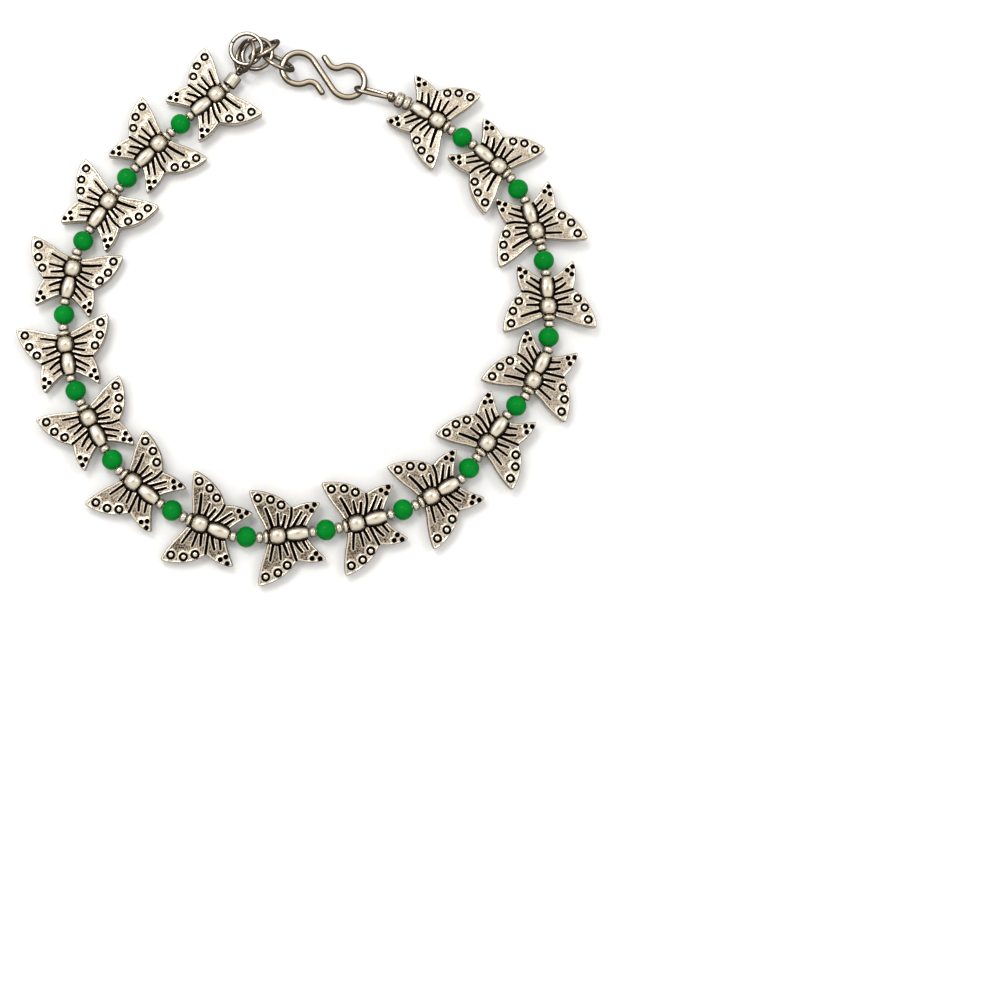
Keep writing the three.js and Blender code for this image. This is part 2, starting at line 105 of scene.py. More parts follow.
# Body lobes from tail to head: where each starts and ends, its half width, and its shape as
# shares of its length and half width.
ROUND_LOBE = [(0.0, 0.52), (0.05, 0.66), (0.14, 0.82), (0.28, 0.94), (0.5, 1.0), (0.72, 0.94),
              (0.86, 0.82), (0.95, 0.66), (1.0, 0.52)]
LONG_LOBE = [(0.0, 0.56), (0.03, 0.68), (0.1, 0.8), (0.26, 0.93), (0.5, 1.0), (0.74, 0.93),
             (0.9, 0.8), (0.97, 0.68), (1.0, 0.56)]
BODY_LOBES = [
    (-4.0, -0.02, 1.24, LONG_LOBE),
    (0.02, 2.98, 1.52, ROUND_LOBE),
    (3.04, 4.0, 1.2, ROUND_LOBE),
]

# How dark the grainy field of each butterfly is, from the left end of the string on.
# Its own patina, plus painted shade that darkens the middle butterflies, which lie lowest in the view.
FIELD_PATINA_AND_SHADE = [
    0.36, 0.38, 0.38, 0.4, 0.42, 0.46, 0.52, 0.57, 0.58, 0.57, 0.53, 0.48, 0.44, 0.4, 0.4, 0.38, 0.36]


class ButterflySizes(bpy.types.PropertyGroup):
    field_depth: FloatProperty(
        name="Field depth", description="How far a wing's grainy field lies under its rim",
        default=0.14 * MM, unit="LENGTH")
    groove_depth: FloatProperty(
        name="Groove depth", description="How far the veins and rings are cut under the rim",
        default=0.55 * MM, unit="LENGTH")
    thickness: FloatProperty(
        name="Wing thickness", description="Height of a wing from face to face",
        default=1.9 * MM, unit="LENGTH")
    rim_width: FloatProperty(
        name="Rim width", description="Width of the bright rim along a wing's outline",
        default=0.26 * MM, unit="LENGTH")
    step: FloatProperty(
        name="Mesh step", description="Distance between points along the outline and the veins",
        default=0.19 * MM, unit="LENGTH")


class StringSizes(bpy.types.PropertyGroup):
    wire_width: FloatProperty(
        name="Wire width", description="Width of the stringing wire",
        default=0.5 * MM, unit="LENGTH")
    spacer_width: FloatProperty(
        name="Spacer width", description="Width of a small silver spacer bead",
        default=1.94 * MM, unit="LENGTH")
    spacer_length: FloatProperty(
        name="Spacer length", description="Length of a spacer bead along the wire",
        default=1.06 * MM, unit="LENGTH")
    green_width: FloatProperty(
        name="Green bead width", description="Width of a green bead across the wire",
        default=3.7 * MM, unit="LENGTH")
    green_length: FloatProperty(
        name="Green bead length", description="Length of a green bead along the wire",
        default=3.35 * MM, unit="LENGTH")


class ClaspSizes(bpy.types.PropertyGroup):
    ring_wire: FloatProperty(
        name="Ring wire", description="Thickness of a jump ring's wire",
        default=0.78 * MM, unit="LENGTH")
    ring_slit: FloatProperty(
        name="Ring slit", description="Width of the slit where a jump ring closes",
        default=0.1 * MM, unit="LENGTH")
    hook_wire: FloatProperty(
        name="Hook wire", description="Thickness of the S hook's wire",
        default=1.14 * MM, unit="LENGTH")
    loop_wire: FloatProperty(
        name="Loop wire", description="Thickness of the wire of the long loop and its wrap",
        default=0.74 * MM, unit="LENGTH")
    eye_wire: FloatProperty(
        name="Eye wire", description="Thickness of the small eye's wire",
        default=0.4 * MM, unit="LENGTH")
    wire_sides: IntProperty(
        name="Wire sides", description="Faces round a wire of the clasp", default=20, min=6)


class FinishColours(bpy.types.PropertyGroup):
    silver: FloatVectorProperty(
        name="Silver", description="Polished rims, bodies and wire", subtype="COLOR",
        default=(0.68, 0.605, 0.49), min=0, max=1)
    wire: FloatVectorProperty(
        name="Wire", description="Drawn wire of the hook, the rings and the eyes", subtype="COLOR",
        default=(0.72, 0.6, 0.45), min=0, max=1)
    field: FloatVectorProperty(
        name="Field", description="Tarnished grainy field of the wings", subtype="COLOR",
        default=(0.23, 0.185, 0.14), min=0, max=1)
    groove: FloatVectorProperty(
        name="Groove", description="Blackened veins, rings and seams", subtype="COLOR",
        default=(0.003, 0.002, 0.0015), min=0, max=1)
    # Colour of the painted shade on the flanks of wires and beads, and of their dark dents and bores.
    side: FloatVectorProperty(
        name="Side", description="Brown along the sides of the wires", subtype="COLOR",
        default=(0.02, 0.012, 0.008), min=0, max=1)
    green: FloatVectorProperty(
        name="Green", description="Green beads", subtype="COLOR",
        default=(0.0, 0.21, 0.02), min=0, max=1)
    floor: FloatVectorProperty(
        name="Floor", description="Pale floor under the anklet", subtype="COLOR",
        default=(0.79, 0.79, 0.79), min=0, max=1)


class StageSetting(bpy.types.PropertyGroup):
    elevation: FloatProperty(
        name="Camera elevation", description="Angle of the view above the floor",
        default=math.radians(80), subtype="ANGLE")
    distance: FloatProperty(
        name="Camera distance", description="From the anklet's middle to the camera",
        default=0.3, unit="LENGTH")
    lens: FloatProperty(
        name="Lens", description="Focal length in millimetres", default=60.07)
    shift: FloatVectorProperty(
        name="Shift", description="Sideways and upward shift of the view", size=2,
        default=(0.1937, -0.1971))
    key_power: FloatProperty(
        name="Key light", description="Power of the soft light behind the anklet",
        default=1.2, subtype="POWER")
    lamp_power: FloatProperty(
        name="Small lamps", description="Power of each of the two small lamps overhead",
        default=0.35, subtype="POWER")


# Reading the CAD nodes

def cad_points(node):
    """Corners of a CAD node in millimetres, each one once."""
    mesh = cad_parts[node].data
    flat = np.zeros(len(mesh.vertices) * 3)
    mesh.vertices.foreach_get("co", flat)
    return np.unique(np.round(flat.reshape(-1, 3) / MM, 3), axis=0)


def spread_axes(points):
    """Unit axes of a cloud of points from its longest spread to its shortest, and the spreads."""
    centred = points - points.mean(0)
    spreads, columns = np.linalg.eigh(centred.T @ centred / len(points))
    return columns.T[::-1], spreads[::-1]


def middle_along(points, axes):
    """Middle of a cloud's extents, measured along three axes."""
    along = points @ axes.T
    return ((along.max(0) + along.min(0)) / 2) @ axes


def unit(vector):
    """The same direction, one long."""
    vector = np.asarray(vector, float)
    return vector / np.linalg.norm(vector)


def butterfly_place(node):
    """Axes (ahead, left, up) and body middle of a butterfly's node."""
    points = cad_points(node)
    axes, _ = spread_axes(points)
    up = axes[2] * np.sign(axes[2][2])
    centred = points - points.mean(0)
    lopsided = [abs(np.mean((centred @ axis) ** 3)) for axis in axes[:2]]
    ahead = axes[int(np.argmax(lopsided))]
    out = centred @ axes[1 - int(np.argmax(lopsided))]
    tips = np.abs(out) > np.abs(out).max() - 0.1
    reach = centred @ ahead
    if reach[tips].mean() < (reach.max() + reach.min()) / 2:
        ahead = -ahead
    axes = np.array([ahead, np.cross(up, ahead), up])
    middle = middle_along(points, axes)
    local = (points - middle) @ axes.T
    bore = np.hypot(local[:, 1], local[:, 2]) < 0.75
    middle = middle + axes[0] * (local[bore, 0].max() + local[bore, 0].min()) / 2
    return axes, middle


def turned_place(node):
    """Axis and middle of a turned bead's node; the axis is the spread unlike the other two."""
    points = cad_points(node)
    axes, spreads = spread_axes(points)
    odd = 0 if spreads[0] - spreads[1] > spreads[1] - spreads[2] else 2
    return axes[odd], middle_along(points, axes)


def string_bends(places):
    """Where the wire bends, from the left end of the string to its right end."""
    bends = []
    for number, (axes, middle) in enumerate(places):
        head = END_REACH if number == 0 else BEND_REACH
        tail = END_REACH if number == len(places) - 1 else BEND_REACH
        bends.append(middle + axes[0] * (BODY_HALF + head))
        bends.append(middle - axes[0] * (BODY_HALF + tail))
    return np.array(bends)


# Making pieces

def new_mesh(name, points, faces, tones=None):
    """Mesh from points in millimetres and faces, smooth, with a tone at each point for patina and painted
    shade.
    """
    mesh = bpy.data.meshes.new(name)
    mesh.from_pydata((np.asarray(points) * MM).tolist(), [], faces)
    if tones is not None:
        layer = mesh.attributes.new("patina_and_shade", "FLOAT", "POINT")
        layer.data.foreach_set("value", np.asarray(tones, np.float32))
    mesh.shade_smooth()
    mesh.validate()
    return mesh


def add_piece(name, mesh, material, nodes):
    """Shown piece that stands for CAD nodes and rides on the one body."""
    mesh.materials.clear()
    mesh.materials.append(material)
    piece = bpy.data.objects.new(name, mesh)
    bpy.context.scene.collection.objects.link(piece)
    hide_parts(*nodes)
    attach(piece, "root")
    return piece


def lathe(profile, sides, tones=None):
    """Closed solid turned round x from a closed profile of (along, radius) pairs."""
    count = len(profile)
    points, values = [], []
    for side in range(sides):
        angle = 2 * math.pi * side / sides
        for number, (along, radius) in enumerate(profile):
            points.append((along, radius * math.cos(angle), radius * math.sin(angle)))
            values.append(tones[number] if tones else 0.0)
    faces = []
    for side in range(sides):
        here, there = side * count, ((side + 1) % sides) * count
        for number in range(count):
            after = (number + 1) % count
            faces.append((here + number, there + number, there + after, here + after))
    return np.array(points), faces, np.array(values)


def resample(line, step):
    """Evenly spaced points along a polyline."""
    line = np.asarray(line, float)
    lengths = np.r_[0, np.cumsum(np.linalg.norm(np.diff(line, axis=0), axis=1))]
    count = max(2, int(round(lengths[-1] / step)) + 1)
    places = np.linspace(0, lengths[-1], count)
    return np.stack([np.interp(places, lengths, line[:, k]) for k in range(line.shape[1])], 1)


def curved(points, per_span=12):
    """Catmull-Rom curve through a few chosen points."""
    points = np.asarray(points, float)
    padded = np.vstack([2 * points[0] - points[1], points, 2 * points[-1] - points[-2]])
    share = np.linspace(0, 1, per_span, endpoint=False)[:, None]
    pieces = []
    for before, start, end, after in zip(padded[:-3], padded[1:-2], padded[2:-1], padded[3:]):
        pieces.append(0.5 * (2 * start + (end - before) * share
                             + (2 * before - 5 * start + 4 * end - after) * share ** 2
                             + (3 * start - before - 3 * end + after) * share ** 3))
    return np.vstack([*pieces, points[-1:]])


def ease(share):
    """Smooth rise from 0 to 1 as the share goes from 0 to 1."""
    share = np.clip(share, 0, 1)
    return share * share * (3 - 2 * share)


# Butterfly

def wing_point(mark, side=1):
    """Place in millimetres of a mark given in shares, on the outer or inner side."""
    return np.array([THORAX_AHEAD + mark[0] * WING_BACK, side * mark[1] * WING_OUT])


def wings_outline(step):
    """Outline of the four wings, anticlockwise, its corners a little rounded."""
    left = []
    for run in WING_RUNS:
        line = curved([wing_point(mark) for mark in run])
        left.append(resample(line, step)[:-1])
    left = np.vstack([*left, [wing_point(WING_RUNS[-1][-1])]])
    outline = np.vstack([left, (left * [1, -1])[::-1]])
    for _ in range(8):
        outline = (np.roll(outline, 1, 0) + 2 * outline + np.roll(outline, -1, 0)) / 4
    return outline


def body_half_width(ahead):
    """Half width of the body at places along it, and 0 beyond its ends."""
    widths = np.zeros_like(ahead)
    for start, end, half, shape in BODY_LOBES:
        share = (ahead - start) / (end - start)
        inside = (share >= 0) & (share <= 1)
        widths[inside] = half * np.interp(share[inside], *np.array(shape).T)
    return widths


def distance_to_line(points, line, widths=None):
    """Distance from points to a polyline, less the line's own half width along it."""
    best = np.full(len(points), 1e9)
    for number, (start, end) in enumerate(zip(line[:-1], line[1:])):
        span = end - start
        share = np.clip(((points - start) @ span) / max(span @ span, 1e-12), 0, 1)
        apart = np.linalg.norm(points - start - share[:, None] * span, axis=1)
        if widths is not None:
            apart = apart - (widths[number] + (widths[number + 1] - widths[number]) * share)
        best = np.minimum(best, apart)
    return best


def vein_lines(step):
    """Every vein of both sides as (points, half widths)."""
    lines = []
    for side, veins in ((1, OUTER_VEINS), (-1, INNER_VEINS)):
        for marks, wide, narrow in veins:
            line = resample(curved([wing_point(mark, side) for mark in marks], 6), step)
            lines.append((line, np.linspace(1.3 * wide, 1.3 * narrow + 0.03, len(line))))
    return lines


def spot_centres(marks):
    """Middles of the same marks on both sides of the body."""
    return [wing_point(mark, side) for side in (1, -1) for mark in marks]


# Eye spot: radius of its dome and outer radius of its black ring. Pit: its radius.
SPOT_DOME, SPOT_GROOVE, PIT_RADIUS = 0.44, 0.76, 0.4


def wing_relief(points, outline, veins, sizes):
    """Height of a wing's face and its tone at points of the face: patina in the field and grooves, and
    painted shade along the outline.
    """
    top = sizes.thickness / MM / 2
    field = top - sizes.field_depth / MM
    floor = top - sizes.groove_depth / MM
    rim_width = sizes.rim_width / MM
    closed = np.vstack([outline, outline[:1]])
    edge = distance_to_line(points, closed)
    raised = 1 - ease((edge - rim_width) / 0.13)
    cut = np.full(len(points), 1e9)
    for line, widths in veins:
        apart = distance_to_line(points, line, widths)
        cut = np.minimum(cut, apart)
        raised = np.maximum(raised, 0.95 * (1 - ease((apart - 0.13) / 0.12)))
    dome = np.zeros(len(points))
    for centre in spot_centres(EYE_SPOTS):
        radius = np.linalg.norm(points - centre, axis=1)
        ring = np.abs(radius - (SPOT_DOME + SPOT_GROOVE) / 2) - (SPOT_GROOVE - SPOT_DOME) / 2
        cut = np.minimum(cut, ring)
        raised = np.maximum(raised, 1 - ease((radius - SPOT_GROOVE - 0.13) / 0.13))
        dome = np.maximum(dome, np.sqrt(np.clip(1 - (radius / (SPOT_DOME + 0.04)) ** 2, 0, 1)))
    for centre in spot_centres(PITS):
        radius = np.linalg.norm(points - centre, axis=1)
        cut = np.minimum(cut, radius - PIT_RADIUS)
        raised = np.maximum(raised, 1 - ease((radius - PIT_RADIUS - 0.1) / 0.12))
    seam = np.abs(points[:, 1]) - body_half_width(points[:, 0]) - 0.2
    seam = np.where(body_half_width(points[:, 0]) > 0, seam, 1e9)
    cut = np.minimum(cut, seam)
    depth = ease(-cut / 0.09)
    height = field + (top - field) * raised
    height = np.where(dome > 0, np.maximum(field - 0.05 + (top - field + 0.08) * dome, floor), height)
    height = height * (1 - depth) + floor * depth
    height -= 0.13 * (1 - np.sqrt(np.clip(1 - (1 - np.clip(edge / 0.13, 0, 1)) ** 2, 0, 1)))
    dark = ease(0.5 - (cut - 0.04) / 0.08)
    patina_and_shade = np.maximum(0.5 * (1 - raised) * (dome <= 0), dark)
    # Painted shade: the outermost tenth of a millimetre of each face, where it rounds over, goes near
    # black.
    patina_and_shade = np.maximum(patina_and_shade, 0.8 * (1 - ease(edge / 0.1)))
    return height, patina_and_shade


def face_points(outline, veins, step):
    """Points of a wing's face: the outline first, then rows beside each feature, then fill."""
    rows = []
    ahead = np.roll(outline, -1, 0) - np.roll(outline, 1, 0)
    inward = np.stack([-ahead[:, 1], ahead[:, 0]], 1)
    inward /= np.linalg.norm(inward, axis=1)[:, None]
    closed = np.vstack([outline, outline[:1]])
    for offset in (0.05, 0.13, 0.26, 0.39):
        row = outline + inward * offset
        rows.append(row[distance_to_line(row, closed) > offset * 0.93])
    for centre in spot_centres(EYE_SPOTS):
        for radius, count in ((0, 1), (0.16, 8), (0.32, 12), (0.42, 16), (0.49, 16), (0.6, 18),
                              (0.71, 22), (0.78, 22), (0.9, 22)):
            turns = np.arange(count) * 2 * math.pi / count
            rows.append(centre + radius * np.stack([np.cos(turns), np.sin(turns)], 1))
    for centre in spot_centres(PITS):
        for radius, count in ((0, 1), (0.17, 8), (0.34, 14), (0.41, 14), (0.53, 14)):
            turns = np.arange(count) * 2 * math.pi / count
            rows.append(centre + radius * np.stack([np.cos(turns), np.sin(turns)], 1))
    for line, widths in veins:
        run = np.gradient(line, axis=0)
        across = np.stack([-run[:, 1], run[:, 0]], 1) / np.linalg.norm(run, axis=1)[:, None]
        for extra in (-0.09, 0.0, 0.13, 0.27):
            for side in (1, -1):
                rows.append(line + across * ((widths + extra) * side)[:, None])
        rows.append(line)
        heading = math.atan2(run[-1][1], run[-1][0])
        for extra in (0.0, 0.13, 0.27):
            turns = heading + np.linspace(-1.2, 1.2, 6)
            radius = widths[-1] + extra
            rows.append(line[-1] + radius * np.stack([np.cos(turns), np.sin(turns)], 1))
    along = np.arange(-4.2, 4.2, step)
    for extra in (-0.05, 0.1, 0.22, 0.32):
        for side in (1, -1):
            rows.append(np.stack([along, side * (body_half_width(along) + extra)], 1))
    fill = 0.34
    grid = [(x + (fill / 2 if row % 2 else 0), y)
            for row, y in enumerate(np.arange(-9, 9, fill * 0.87))
            for x in np.arange(-7, 6.2, fill)]
    feature_count = sum(len(row) for row in rows)
    everything = np.vstack([*rows, grid])
    inside = np.zeros(len(everything), bool)
    for start, end in zip(closed[:-1], closed[1:]):
        crosses = (start[1] > everything[:, 1]) != (end[1] > everything[:, 1])
        at = start[0] + (everything[:, 1] - start[1]) * (end[0] - start[0]) / (end[1] - start[1] + 1e-12)
        inside ^= crosses & (everything[:, 0] < at)
    inside &= distance_to_line(everything, closed) > 0.035
    cell = 0.25
    kept, cells = [tuple(point) for point in outline], {}
    for point in kept:
        cells.setdefault((int(point[0] // cell), int(point[1] // cell)), []).append(point)
    for number, point in enumerate(everything):
        if not inside[number]:
            continue
        least = 0.062 if number < feature_count else 0.2
        column, row = int(point[0] // cell), int(point[1] // cell)
        near = [other for i in (-1, 0, 1) for j in (-1, 0, 1)
                for other in cells.get((column + i, row + j), ())]
        if any((point[0] - x) ** 2 + (point[1] - y) ** 2 < least ** 2 for x, y in near):
            continue
        kept.append(tuple(point))
        cells.setdefault((column, row), []).append(tuple(point))
    return kept


def wings_mesh(sizes):
    """The four wings as one closed plate with the same relief on both faces."""
    step = sizes.step / MM
    outline = wings_outline(step)
    veins = vein_lines(step)
    kept = face_points(outline, veins, step)
    count = len(outline)
    flat, _, triangles, origins, _, _ = delaunay_2d_cdt(
        [Vector(point) for point in kept], [], [list(range(count))], 1, 1e-5)
    flat = np.array([tuple(point) for point in flat])
    rim = [0] * count
    for number, sources in enumerate(origins):
        for source in sources:
            if source < count:
                rim[source] = number
    height, patina_and_shade = wing_relief(flat, outline, veins, sizes)
    size = len(flat)
    points = [np.column_stack([flat, height]), np.column_stack([flat, -height])]
    tones = [patina_and_shade, patina_and_shade]
    faces = [tuple(triangle) for triangle in triangles]
    faces += [tuple(size + corner for corner in reversed(triangle)) for triangle in triangles]
    levels = [rim]
    edge_height = height[rim].mean()
    for number, share in enumerate((0.55, 0.0, -0.55)):
        points.append(np.column_stack([flat[rim], np.full(count, edge_height * share)]))
        # The side walls get a fixed darker tone: painted shade that draws a dark outline round the wings.
        tones.append(np.full(count, 0.44))
        levels.append([2 * size + number * count + k for k in range(count)])
    levels.append([size + corner for corner in rim])
    for upper, lower in zip(levels[:-1], levels[1:]):
        for k in range(count):
            after = (k + 1) % count
            faces.append((upper[k], lower[k], lower[after], upper[after]))
    return np.vstack(points), faces, np.concatenate(tones)


def body_mesh():
    """Tail, thorax and head ring, turned in one with the bore for the wire."""
    profile, tones = [(-BODY_HALF, BODY_BORE)], [1.0]
    for start, end, half, shape in BODY_LOBES:
        for along, share in resample(curved(shape, 4), 0.075):
            profile.append((start + along * (end - start), share * half))
            tones.append(max(0.05, float(ease((0.74 - share) / 0.12))))
        profile.append((end + 0.03, BODY_WAIST))
        tones.append(1.0)
    profile[-1] = (BODY_HALF, BODY_BORE)
    points, faces, tones = lathe(profile, 40, tones)
    reach = np.hypot(points[:, 1], points[:, 2])[:, None]
    turned = points[:, 1:] / reach
    # Painted shade: the body's sides, away from its top and bottom, go towards the field colour.
    tones = np.maximum(tones, 0.66 * ease((0.85 - np.abs(turned[:, 1])) / 0.42))
    points[:, 1:] = reach * np.sign(turned) * np.abs(turned) ** BODY_SQUARENESS
    points[:, 2] *= BODY_DEPTH
    return points, faces, tones


class ANKLET_OT_butterflies(bpy.types.Operator):
    """Seventeen cast butterflies with blackened veins, eye spots and pits"""
    bl_idname = "anklet.butterflies"
    bl_label = "Butterflies"

    def execute(self, context):
        sizes = context.scene.anklet_butterfly
        wings, wing_faces, wing_tones = wings_mesh(sizes)
        body, body_faces, body_tones = body_mesh()
        faces = wing_faces + [tuple(len(wings) + corner for corner in face) for face in body_faces]
        points = np.vstack([wings, body])
        finish = antique_silver(context.scene.anklet_finish)
        for number, node in enumerate(BUTTERFLIES):
            axes, middle = butterfly_place(node)
            # The field value brings each butterfly's patina and the painted shade of the lower ones.
            field = FIELD_PATINA_AND_SHADE[number % len(FIELD_PATINA_AND_SHADE)]
            tones = np.concatenate([wing_tones, body_tones])
            tones = np.where(tones < 0.5, tones * field / 0.5, tones + (field - 0.5) * 2 * (1 - tones))
            mesh = new_mesh(node + "_cast", middle + points @ axes, faces, tones)
            add_piece(node + "_cast", mesh, finish, [node])
        return {"FINISHED"}


# Geometry node trees

def node(tree, kind, values=None, **settings):
    """New node of a tree with its settings, and values of its sockets by name or number."""
    made = tree.nodes.new(kind)
    for key, value in settings.items():
        setattr(made, key, value)
    for key, value in (values or {}).items():
        made.inputs[key].default_value = value
    return made


def shape_tree(name, inputs):
    """Empty geometry node tree with its named inputs."""
    tree = bpy.data.node_groups.new(name, "GeometryNodeTree")
    tree.interface.new_socket("Geometry", in_out="INPUT", socket_type="NodeSocketGeometry")
    for label, kind in inputs:
        tree.interface.new_socket(label, in_out="INPUT", socket_type=kind)
    tree.interface.new_socket("Geometry", in_out="OUTPUT", socket_type="NodeSocketGeometry")
    start = tree.nodes.new("NodeGroupInput")
    end = tree.nodes.new("NodeGroupOutput")
    return tree, start, end


def finish_tree(tree, start, end, geometry):
    """Smooth, realize and give the material, which every tree ends with."""
    smooth = node(tree, "GeometryNodeSetShadeSmooth")
    real = node(tree, "GeometryNodeRealizeInstances")
    paint = node(tree, "GeometryNodeSetMaterial")
    tree.links.new(geometry, smooth.inputs["Geometry"])
    tree.links.new(smooth.outputs[0], real.inputs["Geometry"])
    tree.links.new(real.outputs[0], paint.inputs["Geometry"])
    tree.links.new(start.outputs["Material"], paint.inputs["Material"])
    tree.links.new(paint.outputs[0], end.inputs["Geometry"])


def wire_tree():
    """Round wire along the edges of a path; the path's swell value widens or narrows it."""
    name = "Round wire along a path"
    if name in bpy.data.node_groups:
        return bpy.data.node_groups[name]
    tree, start, end = shape_tree(name, [
        ("Wire width", "NodeSocketFloat"), ("Sides", "NodeSocketInt"), ("Material", "NodeSocketMaterial")])
    curve = node(tree, "GeometryNodeMeshToCurve")
    half = node(tree, "ShaderNodeMath", {1: 0.5}, operation="MULTIPLY")
    circle = node(tree, "GeometryNodeCurvePrimitiveCircle", mode="RADIUS")
    swell = node(tree, "GeometryNodeInputNamedAttribute", {"Name": "swell"}, data_type="FLOAT")
    sweep = node(tree, "GeometryNodeCurveToMesh", {"Fill Caps": True})
    tree.links.new(start.outputs["Geometry"], curve.inputs["Mesh"])
    tree.links.new(start.outputs["Wire width"], half.inputs[0])
    tree.links.new(start.outputs["Sides"], circle.inputs["Resolution"])
    tree.links.new(half.outputs[0], circle.inputs["Radius"])
    tree.links.new(curve.outputs[0], sweep.inputs["Curve"])
    tree.links.new(circle.outputs["Curve"], sweep.inputs["Profile Curve"])
    tree.links.new(swell.outputs["Attribute"], sweep.inputs["Scale"])
    finish_tree(tree, start, end, sweep.outputs[0])
    return tree


def bead_tree():
    """The same bead at every point, turned along that point's run and scaled."""
    name = "Beads along the string"
    if name in bpy.data.node_groups:
        return bpy.data.node_groups[name]
    tree, start, end = shape_tree(name, [
        ("Bead", "NodeSocketObject"), ("Width", "NodeSocketFloat"), ("Length", "NodeSocketFloat"),
        ("Material", "NodeSocketMaterial")])
    bead = node(tree, "GeometryNodeObjectInfo", transform_space="ORIGINAL")
    run = node(tree, "GeometryNodeInputNamedAttribute", {"Name": "run"}, data_type="FLOAT_VECTOR")
    spin = node(tree, "GeometryNodeInputNamedAttribute", {"Name": "spin"}, data_type="FLOAT_VECTOR")
    turn = node(tree, "FunctionNodeAxesToRotation", primary_axis="X", secondary_axis="Z")
    size = node(tree, "ShaderNodeCombineXYZ")
    place = node(tree, "GeometryNodeInstanceOnPoints")
    tree.links.new(start.outputs["Geometry"], place.inputs["Points"])
    tree.links.new(start.outputs["Bead"], bead.inputs["Object"])
    tree.links.new(bead.outputs["Geometry"], place.inputs["Instance"])
    tree.links.new(run.outputs["Attribute"], turn.inputs[0])
    tree.links.new(spin.outputs["Attribute"], turn.inputs[1])
    tree.links.new(turn.outputs[0], place.inputs["Rotation"])
    tree.links.new(start.outputs["Length"], size.inputs[0])
    tree.links.new(start.outputs["Width"], size.inputs[1])
    tree.links.new(start.outputs["Width"], size.inputs[2])
    tree.links.new(size.outputs[0], place.inputs["Scale"])
    finish_tree(tree, start, end, place.outputs[0])
    return tree


def grown(mesh, tree, values):
    """Plain mesh that a geometry node tree makes of a mesh, its inputs given by name."""
    maker = bpy.data.objects.new("maker", mesh)
    bpy.context.scene.collection.objects.link(maker)
    modifier = maker.modifiers.new("shape", "NODES")
    modifier.node_group = tree
    for socket in tree.interface.items_tree:
        if socket.item_type == "SOCKET" and socket.in_out == "INPUT" and socket.name in values:
            modifier[socket.identifier] = values[socket.name]
    bpy.context.view_layer.update()
    graph = bpy.context.evaluated_depsgraph_get()
    made = bpy.data.meshes.new_from_object(maker.evaluated_get(graph))
    bpy.data.objects.remove(maker)
    if not made.polygons:
        raise RuntimeError("the tree " + tree.name + " made no faces")
    return made


def path_mesh(line, swells=None):
    """Edges along an open path in millimetres, with the wire's swell at each point."""
    mesh = bpy.data.meshes.new("path")
    edges = [(k, k + 1) for k in range(len(line) - 1)]
    mesh.from_pydata((np.asarray(line) * MM).tolist(), edges, [])
    layer = mesh.attributes.new("swell", "FLOAT", "POINT")
    values = np.ones(len(line)) if swells is None else np.asarray(swells)
    layer.data.foreach_set("value", values.astype(np.float32))
    return mesh


def point_mesh(places, runs, spins):
    """Loose points that carry the run and the upright side of the bead that each one holds."""
    mesh = bpy.data.meshes.new("places")
    mesh.from_pydata((np.array(places) * MM).tolist(), [], [])
    for label, vectors in (("run", runs), ("spin", spins)):
        layer = mesh.attributes.new(label, "FLOAT_VECTOR", "POINT")
        layer.data.foreach_set("vector", np.array(vectors, np.float32).ravel())
    return mesh


def wire_piece(name, line, width, material, nodes, sides, swells=None):
    """Round wire along a path, as a shown piece."""
    mesh = grown(path_mesh(line, swells), wire_tree(),
                 {"Wire width": width, "Sides": sides, "Material": material})
    # Painted shade along the wire's flanks.
    flank_shade_tones(merged(mesh))
    return add_piece(name, mesh, material, nodes)


def merged(mesh):
    """Doubles merged and faces turned outwards."""
    work = bmesh.new()
    work.from_mesh(mesh)
    bmesh.ops.remove_doubles(work, verts=work.verts, dist=1e-7)
    bmesh.ops.recalc_face_normals(work, faces=work.faces)
    work.to_mesh(mesh)
    work.free()
    mesh.shade_smooth()
    return mesh


def flank_shade_tones(mesh):
    """Painted shade on the flanks of round silver: a tone that grows as a point's normal turns from
    straight up or down, kept where it tops the tone already there.
    """
    normals = np.zeros(len(mesh.vertices) * 3, np.float32)
    values = np.zeros(len(mesh.vertices), np.float32)
    mesh.vertices.foreach_get("normal", normals)
    if "patina_and_shade" in mesh.attributes:
        mesh.attributes["patina_and_shade"].data.foreach_get("value", values)
    else:
        mesh.attributes.new("patina_and_shade", "FLOAT", "POINT")
    flank = 1 - np.abs(normals.reshape(-1, 3)[:, 2])
    mesh.attributes["patina_and_shade"].data.foreach_set("value", np.maximum(values, flank))
    return mesh


# String

def bead_master(name, shape, steps, bore, sides):
    """Bead of width 1 and length 1 along x; the shape gives place and radius for a share."""
    shares = np.linspace(-1, 1, steps + 1)
    profile = [(-0.5, bore), *[shape(share) for share in shares], (0.5, bore)]
    tones = [1.0, *[float(ease((abs(share) - 0.7) / 0.2)) for share in shares], 1.0]
    points, faces, tones = lathe(profile, sides, tones)
    mesh = merged(new_mesh(name, points / MM, faces, tones))
    master = bpy.data.objects.new(name, mesh)
    bpy.context.scene.collection.objects.link(master)
    return master


def green_shape(share):
    """Slightly flattened ball whose ends are cut by the bore."""
    angle = share * math.acos(0.31)
    return 0.5 * math.sin(angle) / math.sin(math.acos(0.31)), 0.5 * math.cos(angle)


def spacer_shape(share):
    """Full round ring with narrow ends."""
    angle = share * math.pi / 2
    return 0.5 * math.sin(angle), 0.27 + 0.23 * abs(math.cos(angle)) ** 0.6


